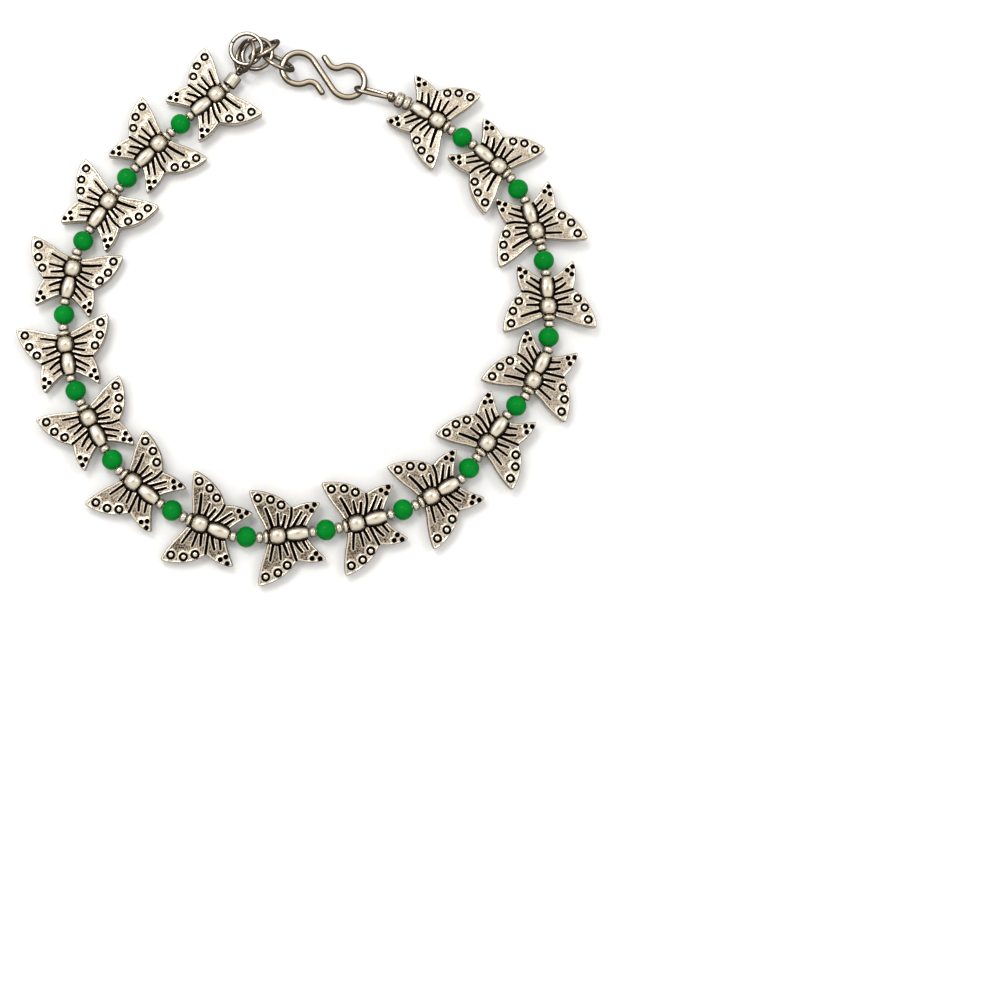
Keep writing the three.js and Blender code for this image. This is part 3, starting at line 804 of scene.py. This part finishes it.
class ANKLET_OT_string(bpy.types.Operator):
    """Green beads, silver spacers and the wire that they are strung on"""
    bl_idname = "anklet.string"
    bl_label = "Beads and wire"

    def execute(self, context):
        sizes = context.scene.anklet_string
        colours = context.scene.anklet_finish
        bends = string_bends([butterfly_place(node) for node in BUTTERFLIES])
        up = np.array([0.0, 0.0, 1.0])
        places, runs = [], []
        for number in range(1, len(bends) - 1, 2):
            places.append((bends[number] + bends[number + 1]) / 2)
            runs.append(unit(bends[number] - bends[number + 1]))
        master = bead_master("green master", green_shape, 22, 0.155, 40)
        glass = green_glass(colours)
        mesh = grown(point_mesh(places, runs, [up] * len(places)), bead_tree(), {
            "Bead": master, "Width": sizes.green_width, "Length": sizes.green_length, "Material": glass})
        bpy.data.objects.remove(master)
        add_piece("green_beads", mesh, glass, GREEN_BEADS)

        places, runs = bends[1:-1], []
        for before, after in zip(bends[:-2], bends[2:]):
            runs.append(unit(before - after))
        master = bead_master("spacer master", spacer_shape, 12, 0.28, 28)
        silver = worn_silver(colours, "spacer_silver", 0.35)
        mesh = grown(point_mesh(places, runs, [up] * len(places)), bead_tree(), {
            "Bead": master, "Width": sizes.spacer_width, "Length": sizes.spacer_length, "Material": silver})
        bpy.data.objects.remove(master)
        # Painted shade along the spacers' flanks.
        flank_shade_tones(mesh)
        add_piece("spacer_beads", mesh, silver, ["string_with_spacers"])

        ends = []
        for bead, bend in (("cylinder_bead", bends[0]), ("inner_disc", bends[-1])):
            axis, middle = turned_place(bead)
            ends.append(bend + unit(middle - bend) * 0.9)
        route = np.vstack([ends[:1], bends, ends[1:]])
        wire_piece("string_wire", route, sizes.wire_width,
                   worn_silver(colours, "string_wire", 0.5), ["string_with_spacers"], 10)
        return {"FINISHED"}


# Clasp

def facing_pair(normal):
    """Two unit directions in the plane that a normal faces."""
    side = unit(np.cross(normal, [0.0, 0.0, 1.0] if abs(normal[2]) < 0.9 else [1.0, 0.0, 0.0]))
    return side, np.cross(normal, side)


def ring_path(centre, normal, radius, slit, toward, count=72):
    """Ring that is cut once, with its slit on the side that faces a direction."""
    side, top = facing_pair(normal)
    start = math.atan2(np.dot(toward, top), np.dot(toward, side))
    half = slit / radius / 2
    turns = start + np.linspace(half, 2 * math.pi - half, count)
    return centre + radius * (np.outer(np.cos(turns), side) + np.outer(np.sin(turns), top))


# Side of each jump ring on which its slit lies.
RING_SLITS = {
    "jump_ring_1": (1.0, 0.4, 0.0),
    "jump_ring_2": (-0.7, -0.7, 0.0),
    "jump_ring_3": (0.3, 1.0, 0.2),
    "jump_ring_4": (-1.0, 0.5, 0.0),
    "jump_ring_5": (0.25, 1.0, 0.4),
}

# Half of the hook from its middle: straight, then bends (radius, turn, steps), then the tip.
HOOK_STRAIGHT = 3.2
HOOK_BENDS = [(3.35, 57.0, 12), (3.0, 206.0, 40), (1.75, -83.0, 12)]
HOOK_TIP = 1.96

# Small eye: radius of its middle line, and the turns in degrees that it runs from and to.
EYE_RADIUS, EYE_TURNS = 0.8, (-157, 168)

# Long loop: its length, half width at the hook and at the neck, then the wrap round its stem.
LOOP_LENGTH, LOOP_HALF_WIDTH, LOOP_NECK = 6.15, 1.2, 0.55
WRAP_RADIUS, WRAP_LENGTH = 0.95, 1.6


def hook_path(heading):
    """Middle line of the S hook from its middle to both tips, level, turned to a heading."""
    steps = [(HOOK_STRAIGHT, 0.0, 4)]
    steps += [(radius * abs(math.radians(turn)), turn, count) for radius, turn, count in HOOK_BENDS]
    steps += [(HOOK_TIP, 0.0, 5)]
    point, half = np.zeros(3), [np.zeros(3)]
    for length, turn, count in steps:
        for _ in range(count):
            heading += math.radians(turn) / count / 2
            point = point + length / count * np.array([math.cos(heading), math.sin(heading), 0])
            heading += math.radians(turn) / count / 2
            half.append(point)
    return np.array([-corner for corner in half[:0:-1]] + half)


def rounded_ends(line, width):
    """Open path whose last half width is split into close points, for rounded tips."""
    reach = width / 2
    start, end = line[0], line[-1]
    into, back = unit(line[1] - line[0]), unit(line[-2] - line[-1])
    near = [start + into * reach * share for share in (0.0, 0.12, 0.35, 0.65)]
    far = [end + back * reach * share for share in (0.65, 0.35, 0.12, 0.0)]
    middle = [point for point in line[1:-1]
              if np.linalg.norm(point - start) > reach and np.linalg.norm(point - end) > reach]
    points = np.array(near + middle + far)
    swells = np.ones(len(points))
    for k, share in enumerate((0.25, 0.55, 0.82, 0.97)):
        swells[k] = swells[-1 - k] = share
    return points, swells


class ANKLET_OT_rings(bpy.types.Operator):
    """Five cut jump rings that hang in each other, and the small eye that holds them"""
    bl_idname = "anklet.rings"
    bl_label = "Jump rings"

    def execute(self, context):
        sizes = context.scene.anklet_clasp
        silver = polished_silver(context.scene.anklet_finish)
        for name in JUMP_RINGS:
            points = cad_points(name)
            axes, _ = spread_axes(points)
            centre = points.mean(0)
            across = (points - centre) - np.outer((points - centre) @ axes[2], axes[2])
            radius = np.linalg.norm(across, axis=1).max() - sizes.ring_wire / MM / 2
            line = ring_path(centre, axes[2], radius, sizes.ring_slit / MM, RING_SLITS[name])
            line, swells = rounded_ends(line, sizes.ring_wire / MM * 0.25)
            swells = 1 - (1 - swells) * 0.3
            wire_piece(name + "_wire", line, sizes.ring_wire, silver, [name],
                       sizes.wire_sides, swells)
        axis, middle = turned_place("cylinder_bead")
        points = cad_points("left_eye")
        axes, _ = spread_axes(points)
        facing = axes[2]
        if (points.mean(0) - middle) @ axis < 0:
            axis = -axis
        reach = (points @ axis).max()
        radius = EYE_RADIUS
        centre = middle + axis * (reach - middle @ axis - radius - sizes.eye_wire / MM / 2)
        side = np.cross(facing, axis)
        turns = np.radians(np.linspace(*EYE_TURNS, 44))
        loop = centre + radius * (np.outer(np.cos(turns), axis) + np.outer(np.sin(turns), side))
        stem = [centre - axis * (radius + 1.1), centre - axis * (radius + 0.25) - side * 0.08]
        line = np.vstack([stem, loop])
        wire_piece("left_eye_wire", line, sizes.eye_wire, silver, ["left_eye"], 16)
        return {"FINISHED"}


class ANKLET_OT_hook(bpy.types.Operator):
    """S hook of round wire with two flared ends"""
    bl_idname = "anklet.hook"
    bl_label = "S hook"

    def execute(self, context):
        sizes = context.scene.anklet_clasp
        points = cad_points("s_hook")
        centre = (points.max(0) + points.min(0)) / 2
        axes, _ = spread_axes(points)
        plain, _ = spread_axes(hook_path(0.0))
        heading = math.atan2(axes[0][1], axes[0][0]) - math.atan2(plain[0][1], plain[0][0])
        line, swells = rounded_ends(centre + hook_path(heading), sizes.hook_wire / MM)
        silver = polished_silver(context.scene.anklet_finish)
        wire_piece("s_hook_wire", line, sizes.hook_wire, silver, ["s_hook"],
                   sizes.wire_sides, swells)
        return {"FINISHED"}


class ANKLET_OT_loop(bpy.types.Operator):
    """Long wire loop that holds the hook, with its two wrapped turns"""
    bl_idname = "anklet.loop"
    bl_label = "Long loop"

    def execute(self, context):
        sizes = context.scene.anklet_clasp
        points = cad_points("right_eye")
        axes, _ = spread_axes(points)
        ahead = axes[0]
        _, disc = turned_place("outer_disc")
        if (disc - points.mean(0)) @ ahead < 0:
            ahead = -ahead
        facing = axes[2] * np.sign(axes[2][2])
        side = np.cross(facing, ahead)
        middle = middle_along(points, np.array([ahead, side, facing]))
        wire = sizes.loop_wire / MM
        start = middle + ahead * ((points @ ahead).min() + wire / 2 - middle @ ahead)
        length, widest, neck = LOOP_LENGTH, LOOP_HALF_WIDTH, LOOP_NECK
        leg = [(length - (length - widest) * share, neck + (widest - neck) * (1 - (1 - share) ** 2.6))
               for share in np.linspace(0, 1, 14)]
        bend = [(widest - widest * math.sin(turn), widest * math.cos(turn))
                for turn in np.linspace(0, math.pi, 24)[1:-1]]
        outline = leg + bend + [(x, -y) for x, y in reversed(leg)]
        loop = [start + ahead * x + side * y for x, y in outline]
        coil_start = length - wire * 0.35
        radius = WRAP_RADIUS - wire / 2
        turns = np.linspace(-0.5 * math.pi, 3.6 * math.pi, 56)
        pitch = (WRAP_LENGTH - wire) / (turns[-1] - turns[0])
        coil = [start + ahead * (coil_start + wire / 2 + (turn - turns[0]) * pitch)
                + radius * (side * math.sin(turn) + facing * math.cos(turn)) for turn in turns]
        stem = [start + ahead * (coil_start + 2.3), start + ahead * (coil_start + 0.6)]
        line = np.vstack([stem, loop, coil])
        silver = polished_silver(context.scene.anklet_finish)
        wire_piece("long_loop_wire", line, sizes.loop_wire, silver,
                   ["right_eye"], sizes.wire_sides)
        return {"FINISHED"}


def soft_edge_profile(length, radius, edge, bore):
    """Closed profile of a short tube whose rims are rounded by edge."""
    half = length / 2
    profile = [(-half, bore), (-half, radius - edge)]
    for turn in np.linspace(0, math.pi / 2, 7)[1:]:
        profile.append((-half + edge * (1 - math.cos(turn)), radius - edge * (1 - math.sin(turn))))
    for share in (-0.6, -0.3, 0.0, 0.3, 0.6):
        profile.append((share * (half - edge), radius))
    for turn in np.linspace(math.pi / 2, 0, 7)[:-1]:
        profile.append((half - edge * (1 - math.cos(turn)), radius - edge * (1 - math.sin(turn))))
    profile += [(half, radius - edge), (half, bore)]
    return profile


# Beads at the ends of the string: node, radius, length, rounding of the rims, dimples, wear.
END_BEADS = [
    ("cylinder_bead", 1.275, 2.3, 0.22, 0, 0.3),
    ("inner_disc", 1.275, 1.2, 0.42, 0, 0.25),
    ("outer_disc", 1.45, 1.4, 0.45, 9, 0.4),
]


class ANKLET_OT_end_beads(bpy.types.Operator):
    """Plain tube and two flat beads at the ends of the string"""
    bl_idname = "anklet.end_beads"
    bl_label = "End beads"

    def execute(self, context):
        colours = context.scene.anklet_finish
        for node, radius, length, edge, dimples, wear in END_BEADS:
            axis, middle = turned_place(node)
            side, top = facing_pair(axis)
            profile = soft_edge_profile(length, radius, edge, 0.55)
            points, faces, _ = lathe(profile, 72)
            tones = np.zeros(len(points))
            turn = np.arctan2(points[:, 2], points[:, 1])
            reach = np.hypot(points[:, 1], points[:, 2])
            for k in range(dimples):
                away = (turn - 2 * math.pi * k / dimples + math.pi) % (2 * math.pi) - math.pi
                apart = np.hypot(away * radius, points[:, 0]) / 0.2
                dent = np.exp(-apart ** 2) * (reach > 0.7)
                points[:, 1:] *= (1 - 0.12 * dent / radius)[:, None]
                tones = np.maximum(tones, dent)
            inner = reach < 0.75
            tones[inner] = 1.0
            mesh = merged(new_mesh(node, middle + points @ np.array([axis, side, top]), faces, tones))
            # Painted shade along the beads' flanks.
            flank_shade_tones(mesh)
            add_piece(node + "_turned", mesh, worn_silver(colours, node, wear), [node])
        return {"FINISHED"}


# Finishes

def shade_group(name, inputs, outputs):
    """Empty shader node group with its named inputs and outputs."""
    tree = bpy.data.node_groups.new(name, "ShaderNodeTree")
    for label, kind, default in inputs:
        socket = tree.interface.new_socket(label, in_out="INPUT", socket_type=kind)
        if default is not None:
            socket.default_value = default
    for label, kind in outputs:
        tree.interface.new_socket(label, in_out="OUTPUT", socket_type=kind)
    return tree, tree.nodes.new("NodeGroupInput"), tree.nodes.new("NodeGroupOutput")


def patina_and_shade_group():
    """Silver that goes from polished through a grainy grey-brown field to black grooves, led by a tone that
    holds patina and painted shade.
    """
    name = "Tarnished silver"
    if name in bpy.data.node_groups:
        return bpy.data.node_groups[name]
    tree, start, end = shade_group(name, [
        ("Patina and shade", "NodeSocketFloat", 0.0), ("Silver", "NodeSocketColor", (0.8, 0.75, 0.7, 1)),
        ("Field", "NodeSocketColor", (0.2, 0.2, 0.2, 1)), ("Groove", "NodeSocketColor", (0, 0, 0, 1)),
        ("Grain", "NodeSocketFloat", 9000.0), ("Grain depth", "NodeSocketFloat", 0.5),
    ], [("Colour", "NodeSocketColor"), ("Metal", "NodeSocketFloat"), ("Roughness", "NodeSocketFloat"),
        ("Normal", "NodeSocketVector")])
    place = node(tree, "ShaderNodeTexCoord")
    grain = node(tree, "ShaderNodeTexNoise", {"Detail": 3.0, "Roughness": 0.65})
    cloud = node(tree, "ShaderNodeTexNoise", {"Scale": 420.0, "Detail": 4.0, "Roughness": 0.6})
    for texture in (grain, cloud):
        tree.links.new(place.outputs["Object"], texture.inputs["Vector"])
    tree.links.new(start.outputs["Grain"], grain.inputs["Scale"])
    rough_field = node(tree, "ShaderNodeMapRange", {1: 0.32, 2: 0.68, 3: -0.26, 4: 0.26})
    tree.links.new(grain.outputs[0], rough_field.inputs[0])
    drift = node(tree, "ShaderNodeMapRange", {1: 0.3, 2: 0.7, 3: -0.08, 4: 0.08})
    tree.links.new(cloud.outputs[0], drift.inputs[0])
    gate = node(tree, "ShaderNodeMapRange", {1: 0.05, 2: 0.35, 3: 0.12, 4: 1.0})
    tree.links.new(start.outputs["Patina and shade"], gate.inputs[0])
    both = node(tree, "ShaderNodeMath", operation="ADD")
    tree.links.new(rough_field.outputs[0], both.inputs[0])
    tree.links.new(drift.outputs[0], both.inputs[1])
    weighed = node(tree, "ShaderNodeMath", operation="MULTIPLY")
    tree.links.new(both.outputs[0], weighed.inputs[0])
    tree.links.new(gate.outputs[0], weighed.inputs[1])
    total = node(tree, "ShaderNodeMath", operation="ADD", use_clamp=True)
    tree.links.new(weighed.outputs[0], total.inputs[0])
    tree.links.new(start.outputs["Patina and shade"], total.inputs[1])
    to_field = node(tree, "ShaderNodeMapRange", {1: 0.08, 2: 0.55, 3: 0.0, 4: 1.0})
    to_groove = node(tree, "ShaderNodeMapRange", {1: 0.52, 2: 0.74, 3: 0.0, 4: 1.0})
    first = node(tree, "ShaderNodeMix", data_type="RGBA")
    second = node(tree, "ShaderNodeMix", data_type="RGBA")
    tree.links.new(total.outputs[0], to_field.inputs[0])
    tree.links.new(total.outputs[0], to_groove.inputs[0])
    tree.links.new(to_field.outputs[0], first.inputs["Factor"])
    tree.links.new(start.outputs["Silver"], first.inputs["A"])
    tree.links.new(start.outputs["Field"], first.inputs["B"])
    tree.links.new(to_groove.outputs[0], second.inputs["Factor"])
    tree.links.new(first.outputs["Result"], second.inputs["A"])
    tree.links.new(start.outputs["Groove"], second.inputs["B"])
    tree.links.new(second.outputs["Result"], end.inputs["Colour"])
    metal = node(tree, "ShaderNodeMapRange", {1: 0.52, 2: 0.74, 3: 1.0, 4: 0.0})
    tree.links.new(start.outputs["Patina and shade"], metal.inputs[0])
    tree.links.new(metal.outputs[0], end.inputs["Metal"])
    rough = node(tree, "ShaderNodeMapRange", {1: 0.0, 2: 0.6, 3: 0.2, 4: 0.5})
    tree.links.new(total.outputs[0], rough.inputs[0])
    tree.links.new(rough.outputs[0], end.inputs["Roughness"])
    depth = node(tree, "ShaderNodeMath", operation="MULTIPLY")
    tree.links.new(gate.outputs[0], depth.inputs[0])
    tree.links.new(start.outputs["Grain depth"], depth.inputs[1])
    bump = node(tree, "ShaderNodeBump", {"Distance": 0.00006})
    tree.links.new(depth.outputs[0], bump.inputs["Strength"])
    tree.links.new(grain.outputs[0], bump.inputs["Height"])
    tree.links.new(bump.outputs[0], end.inputs["Normal"])
    return tree


def handling_group():
    """Fine rubs and dull patches on polished metal."""
    name = "Handling marks"
    if name in bpy.data.node_groups:
        return bpy.data.node_groups[name]
    tree, start, end = shade_group(name, [
        ("Wear", "NodeSocketFloat", 0.3), ("Silver", "NodeSocketColor", (0.8, 0.75, 0.7, 1)),
        ("Dull", "NodeSocketColor", (0.4, 0.35, 0.3, 1)),
    ], [("Colour", "NodeSocketColor"), ("Roughness", "NodeSocketFloat"), ("Normal", "NodeSocketVector")])
    place = node(tree, "ShaderNodeTexCoord")
    patch = node(tree, "ShaderNodeTexNoise", {"Scale": 700.0, "Detail": 5.0, "Roughness": 0.62})
    rub = node(tree, "ShaderNodeTexNoise", {"Scale": 5200.0, "Detail": 2.0})
    for texture in (patch, rub):
        tree.links.new(place.outputs["Object"], texture.inputs["Vector"])
    mask = node(tree, "ShaderNodeMapRange", {1: 0.45, 2: 0.75, 3: 0.0, 4: 1.0})
    tree.links.new(patch.outputs[0], mask.inputs[0])
    share = node(tree, "ShaderNodeMath", operation="MULTIPLY")
    tree.links.new(mask.outputs[0], share.inputs[0])
    tree.links.new(start.outputs["Wear"], share.inputs[1])
    mix = node(tree, "ShaderNodeMix", data_type="RGBA")
    tree.links.new(share.outputs[0], mix.inputs["Factor"])
    tree.links.new(start.outputs["Silver"], mix.inputs["A"])
    tree.links.new(start.outputs["Dull"], mix.inputs["B"])
    tree.links.new(mix.outputs["Result"], end.inputs["Colour"])
    rough = node(tree, "ShaderNodeMapRange", {1: 0.0, 2: 0.6, 3: 0.12, 4: 0.4})
    tree.links.new(share.outputs[0], rough.inputs[0])
    tree.links.new(rough.outputs[0], end.inputs["Roughness"])
    bump = node(tree, "ShaderNodeBump", {"Distance": 0.00002, "Strength": 0.05})
    tree.links.new(rub.outputs[0], bump.inputs["Height"])
    tree.links.new(bump.outputs[0], end.inputs["Normal"])
    return tree


def new_material(name):
    """Material, its node tree and its Principled shader."""
    made = bpy.data.materials.new(name)
    made.use_nodes = True
    return made, made.node_tree, made.node_tree.nodes["Principled BSDF"]


def solid(colour):
    """Colour with full cover, as a node's socket takes it."""
    return (*colour, 1.0)


def antique_silver(colours):
    """Cast silver, bright on the rims, grainy in the fields and black in the grooves, with painted shade on
    the body's flanks and the wings' outlines.
    """
    material, tree, shader = new_material("antique_silver")
    group = node(tree, "ShaderNodeGroup", node_tree=patina_and_shade_group())
    group.inputs["Silver"].default_value = solid(colours.silver)
    group.inputs["Field"].default_value = solid(colours.field)
    group.inputs["Groove"].default_value = solid(colours.groove)
    group.inputs["Grain"].default_value = 4000.0
    # The mesh's tone: patina and painted shade.
    patina_and_shade = node(tree, "ShaderNodeAttribute", attribute_name="patina_and_shade")
    tree.links.new(patina_and_shade.outputs["Fac"], group.inputs["Patina and shade"])
    tree.links.new(group.outputs["Colour"], shader.inputs["Base Color"])
    tree.links.new(group.outputs["Metal"], shader.inputs["Metallic"])
    shader.inputs["Specular IOR Level"].default_value = 0.0
    tree.links.new(group.outputs["Roughness"], shader.inputs["Roughness"])
    tree.links.new(group.outputs["Normal"], shader.inputs["Normal"])
    return material


def polished_silver(colours):
    """Drawn silver wire with handling marks, and painted shade in brown along its flanks."""
    name = "polished_silver"
    if name in bpy.data.materials:
        return bpy.data.materials[name]
    material, tree, shader = new_material(name)
    group = node(tree, "ShaderNodeGroup", node_tree=handling_group())
    group.inputs["Wear"].default_value = 0.22
    group.inputs["Silver"].default_value = solid(colours.wire)
    group.inputs["Dull"].default_value = solid(colours.field)
    # Painted shade along the flanks, from the mesh's tone.
    flank_shade_and_dents(tree, shader, group.outputs["Colour"], colours, 0.0, 0.22)
    tree.links.new(group.outputs["Roughness"], shader.inputs["Roughness"])
    tree.links.new(group.outputs["Normal"], shader.inputs["Normal"])
    return material


def flank_shade_and_dents(tree, shader, colour, colours, begins, full):
    """Dark brown, less metallic, where the mesh's tone is high: painted shade on the flanks of wires and
    beads, and the dark of their dents, bores and bead ends.
    """
    away = node(tree, "ShaderNodeAttribute", attribute_name="patina_and_shade")
    share = node(tree, "ShaderNodeMapRange", {1: begins, 2: full, 3: 0.0, 4: 0.95})
    metal = node(tree, "ShaderNodeMath", {0: 1.0}, operation="SUBTRACT")
    mix = node(tree, "ShaderNodeMix", data_type="RGBA")
    mix.inputs["B"].default_value = solid(colours.side)
    tree.links.new(away.outputs["Fac"], share.inputs[0])
    tree.links.new(share.outputs[0], mix.inputs["Factor"])
    tree.links.new(share.outputs[0], metal.inputs[1])
    tree.links.new(colour, mix.inputs["A"])
    tree.links.new(mix.outputs["Result"], shader.inputs["Base Color"])
    tree.links.new(metal.outputs[0], shader.inputs["Metallic"])
    shader.inputs["Specular IOR Level"].default_value = 0.0


def worn_silver(colours, name, wear):
    """Turned silver with handling marks, dark in its dents and bores, and with painted shade along its
    flanks.
    """
    material, tree, shader = new_material(name + "_finish")
    group = node(tree, "ShaderNodeGroup", node_tree=handling_group())
    group.inputs["Wear"].default_value = wear
    group.inputs["Silver"].default_value = solid(colours.silver)
    group.inputs["Dull"].default_value = solid(colours.field)
    # Painted shade along the flanks, and the dark of dents, bores and bead ends, from the mesh's tone.
    flank_shade_and_dents(tree, shader, group.outputs["Colour"], colours, 0.2, 0.75)
    tree.links.new(group.outputs["Roughness"], shader.inputs["Roughness"])
    tree.links.new(group.outputs["Normal"], shader.inputs["Normal"])
    return material


def green_glass(colours):
    """Opaque green, glossy, with faint swirls."""
    material, tree, shader = new_material("green_glass")
    place = node(tree, "ShaderNodeTexCoord")
    swirl = node(tree, "ShaderNodeTexNoise", {"Scale": 260.0, "Detail": 3.0, "Distortion": 0.8})
    tree.links.new(place.outputs["Object"], swirl.inputs["Vector"])
    mix = node(tree, "ShaderNodeMix", data_type="RGBA")
    mix.inputs["A"].default_value = solid([0.72 * part for part in colours.green])
    mix.inputs["B"].default_value = solid(colours.green)
    share = node(tree, "ShaderNodeMapRange", {1: 0.3, 2: 0.7, 3: 0.0, 4: 1.0})
    tree.links.new(swirl.outputs[0], share.inputs[0])
    tree.links.new(share.outputs[0], mix.inputs["Factor"])
    tree.links.new(mix.outputs["Result"], shader.inputs["Base Color"])
    shader.inputs["Roughness"].default_value = 0.08
    shader.inputs["Specular IOR Level"].default_value = 0.05
    return material


# Stage, in metres

KEY_PLACE, KEY_SIZE = (-0.16, 0.24, 0.54), 0.18
LAMP_PLACE, LAMP_SIZE = (0.32, 0.08, 0.5), 0.1
FLOOR_HALF = 2.0


def add_light(name, place, size, power):
    """Square soft light that faces the anklet's middle."""
    lamp = bpy.data.lights.new(name, "AREA")
    lamp.shape = "SQUARE"
    lamp.size = size
    lamp.energy = power
    holder = bpy.data.objects.new(name, lamp)
    holder.location = place
    holder.rotation_mode = "QUATERNION"
    holder.rotation_quaternion = (-Vector(place)).to_track_quat("-Z", "Y")
    bpy.context.scene.collection.objects.link(holder)
    return holder


def soft_world():
    """Studio light from above: dark round the horizon, and a small darker patch overhead."""
    world = bpy.data.worlds.new("studio")
    world.use_nodes = True
    tree = world.node_tree
    back = tree.nodes["Background"]
    place = node(tree, "ShaderNodeTexCoord")
    parts = node(tree, "ShaderNodeSeparateXYZ")
    rise = node(tree, "ShaderNodeMapRange", {1: 0.0, 2: 0.75, 3: 0.6, 4: 1.15},
                interpolation_type="SMOOTHSTEP")
    patch = node(tree, "ShaderNodeMapRange", {1: 0.974, 2: 0.996, 3: 1.0, 4: 0.4},
                 interpolation_type="SMOOTHSTEP")
    both = node(tree, "ShaderNodeMath", operation="MULTIPLY")
    tree.links.new(place.outputs["Generated"], parts.inputs[0])
    tree.links.new(parts.outputs["Z"], rise.inputs[0])
    tree.links.new(parts.outputs["Z"], patch.inputs[0])
    tree.links.new(rise.outputs[0], both.inputs[0])
    tree.links.new(patch.outputs[0], both.inputs[1])
    tree.links.new(both.outputs[0], back.inputs["Strength"])
    back.inputs["Color"].default_value = (1.0, 0.985, 0.96, 1.0)
    bpy.context.scene.world = world


class ANKLET_OT_stage(bpy.types.Operator):
    """Pale floor, soft lights and the camera"""
    bl_idname = "anklet.stage"
    bl_label = "Stage"

    def execute(self, context):
        setting = context.scene.anklet_stage
        mesh = bpy.data.meshes.new("floor")
        corners = [(FLOOR_HALF * x, FLOOR_HALF * y, 0) for x, y in ((-1, -1), (1, -1), (1, 1), (-1, 1))]
        mesh.from_pydata(corners, [], [(0, 1, 2, 3)])
        paint, tree, shader = new_material("pale_floor")
        place = node(tree, "ShaderNodeTexCoord")
        tooth = node(tree, "ShaderNodeTexNoise", {"Scale": 900.0, "Detail": 2.0})
        bump = node(tree, "ShaderNodeBump", {"Distance": 0.00002, "Strength": 0.1})
        tree.links.new(place.outputs["Object"], tooth.inputs["Vector"])
        tree.links.new(tooth.outputs[0], bump.inputs["Height"])
        tree.links.new(bump.outputs[0], shader.inputs["Normal"])
        shader.inputs["Base Color"].default_value = solid(context.scene.anklet_finish.floor)
        shader.inputs["Roughness"].default_value = 0.9
        shader.inputs["Specular IOR Level"].default_value = 0.1
        mesh.materials.append(paint)
        floor = bpy.data.objects.new("floor", mesh)
        context.scene.collection.objects.link(floor)
        add_light("key", KEY_PLACE, KEY_SIZE, setting.key_power)
        for side in (-1, 1):
            add_light("lamp", (LAMP_PLACE[0] * side, *LAMP_PLACE[1:]), LAMP_SIZE, setting.lamp_power)
        soft_world()
        look = context.scene.view_settings
        look.view_transform, look.look, look.exposure, look.gamma = "Standard", "None", 0, 1
        camera = bpy.data.objects.new("camera", bpy.data.cameras.new("camera"))
        back = Vector((0, -math.cos(setting.elevation), math.sin(setting.elevation)))
        camera.location = back * setting.distance
        camera.rotation_mode = "QUATERNION"
        camera.rotation_quaternion = (-back).to_track_quat("-Z", "Y")
        camera.data.lens = setting.lens
        camera.data.sensor_width = 36
        camera.data.shift_x, camera.data.shift_y = setting.shift
        camera.data.clip_start, camera.data.clip_end = 0.01, 10
        context.scene.collection.objects.link(camera)
        context.scene.camera = camera
        return {"FINISHED"}


class ANKLET_PT_sidebar(bpy.types.Panel):
    bl_idname = "ANKLET_PT_sidebar"
    bl_label = "Payal anklet"
    bl_space_type = "VIEW_3D"
    bl_region_type = "UI"
    bl_category = "Anklet"

    def draw(self, context):
        layout = self.layout
        for group, operators in PANEL_ROWS:
            box = layout.box()
            settings = getattr(context.scene, group)
            for label in settings.bl_rna.properties.keys():
                if label not in ("rna_type", "name"):
                    box.prop(settings, label)
            for operator in operators:
                box.operator(operator.bl_idname)


PANEL_ROWS = [
    ("anklet_butterfly", [ANKLET_OT_butterflies]),
    ("anklet_string", [ANKLET_OT_string]),
    ("anklet_clasp", [ANKLET_OT_rings, ANKLET_OT_hook, ANKLET_OT_loop, ANKLET_OT_end_beads]),
    ("anklet_finish", []),
    ("anklet_stage", [ANKLET_OT_stage]),
]
SETTINGS = {
    "anklet_butterfly": ButterflySizes,
    "anklet_string": StringSizes,
    "anklet_clasp": ClaspSizes,
    "anklet_finish": FinishColours,
    "anklet_stage": StageSetting,
}
CLASSES = [*SETTINGS.values(), *[operator for _, row in PANEL_ROWS for operator in row], ANKLET_PT_sidebar]


def register():
    for entry in CLASSES:
        bpy.utils.register_class(entry)
    for name, group in SETTINGS.items():
        setattr(bpy.types.Scene, name, PointerProperty(type=group))


def unregister():
    for name in SETTINGS:
        delattr(bpy.types.Scene, name)
    for entry in reversed(CLASSES):
        bpy.utils.unregister_class(entry)


def main():
    register()
    bpy.ops.anklet.stage()
    bpy.ops.anklet.butterflies()
    bpy.ops.anklet.string()
    bpy.ops.anklet.rings()
    bpy.ops.anklet.hook()
    bpy.ops.anklet.loop()
    bpy.ops.anklet.end_beads()


if __name__ == "__main__":
    main()
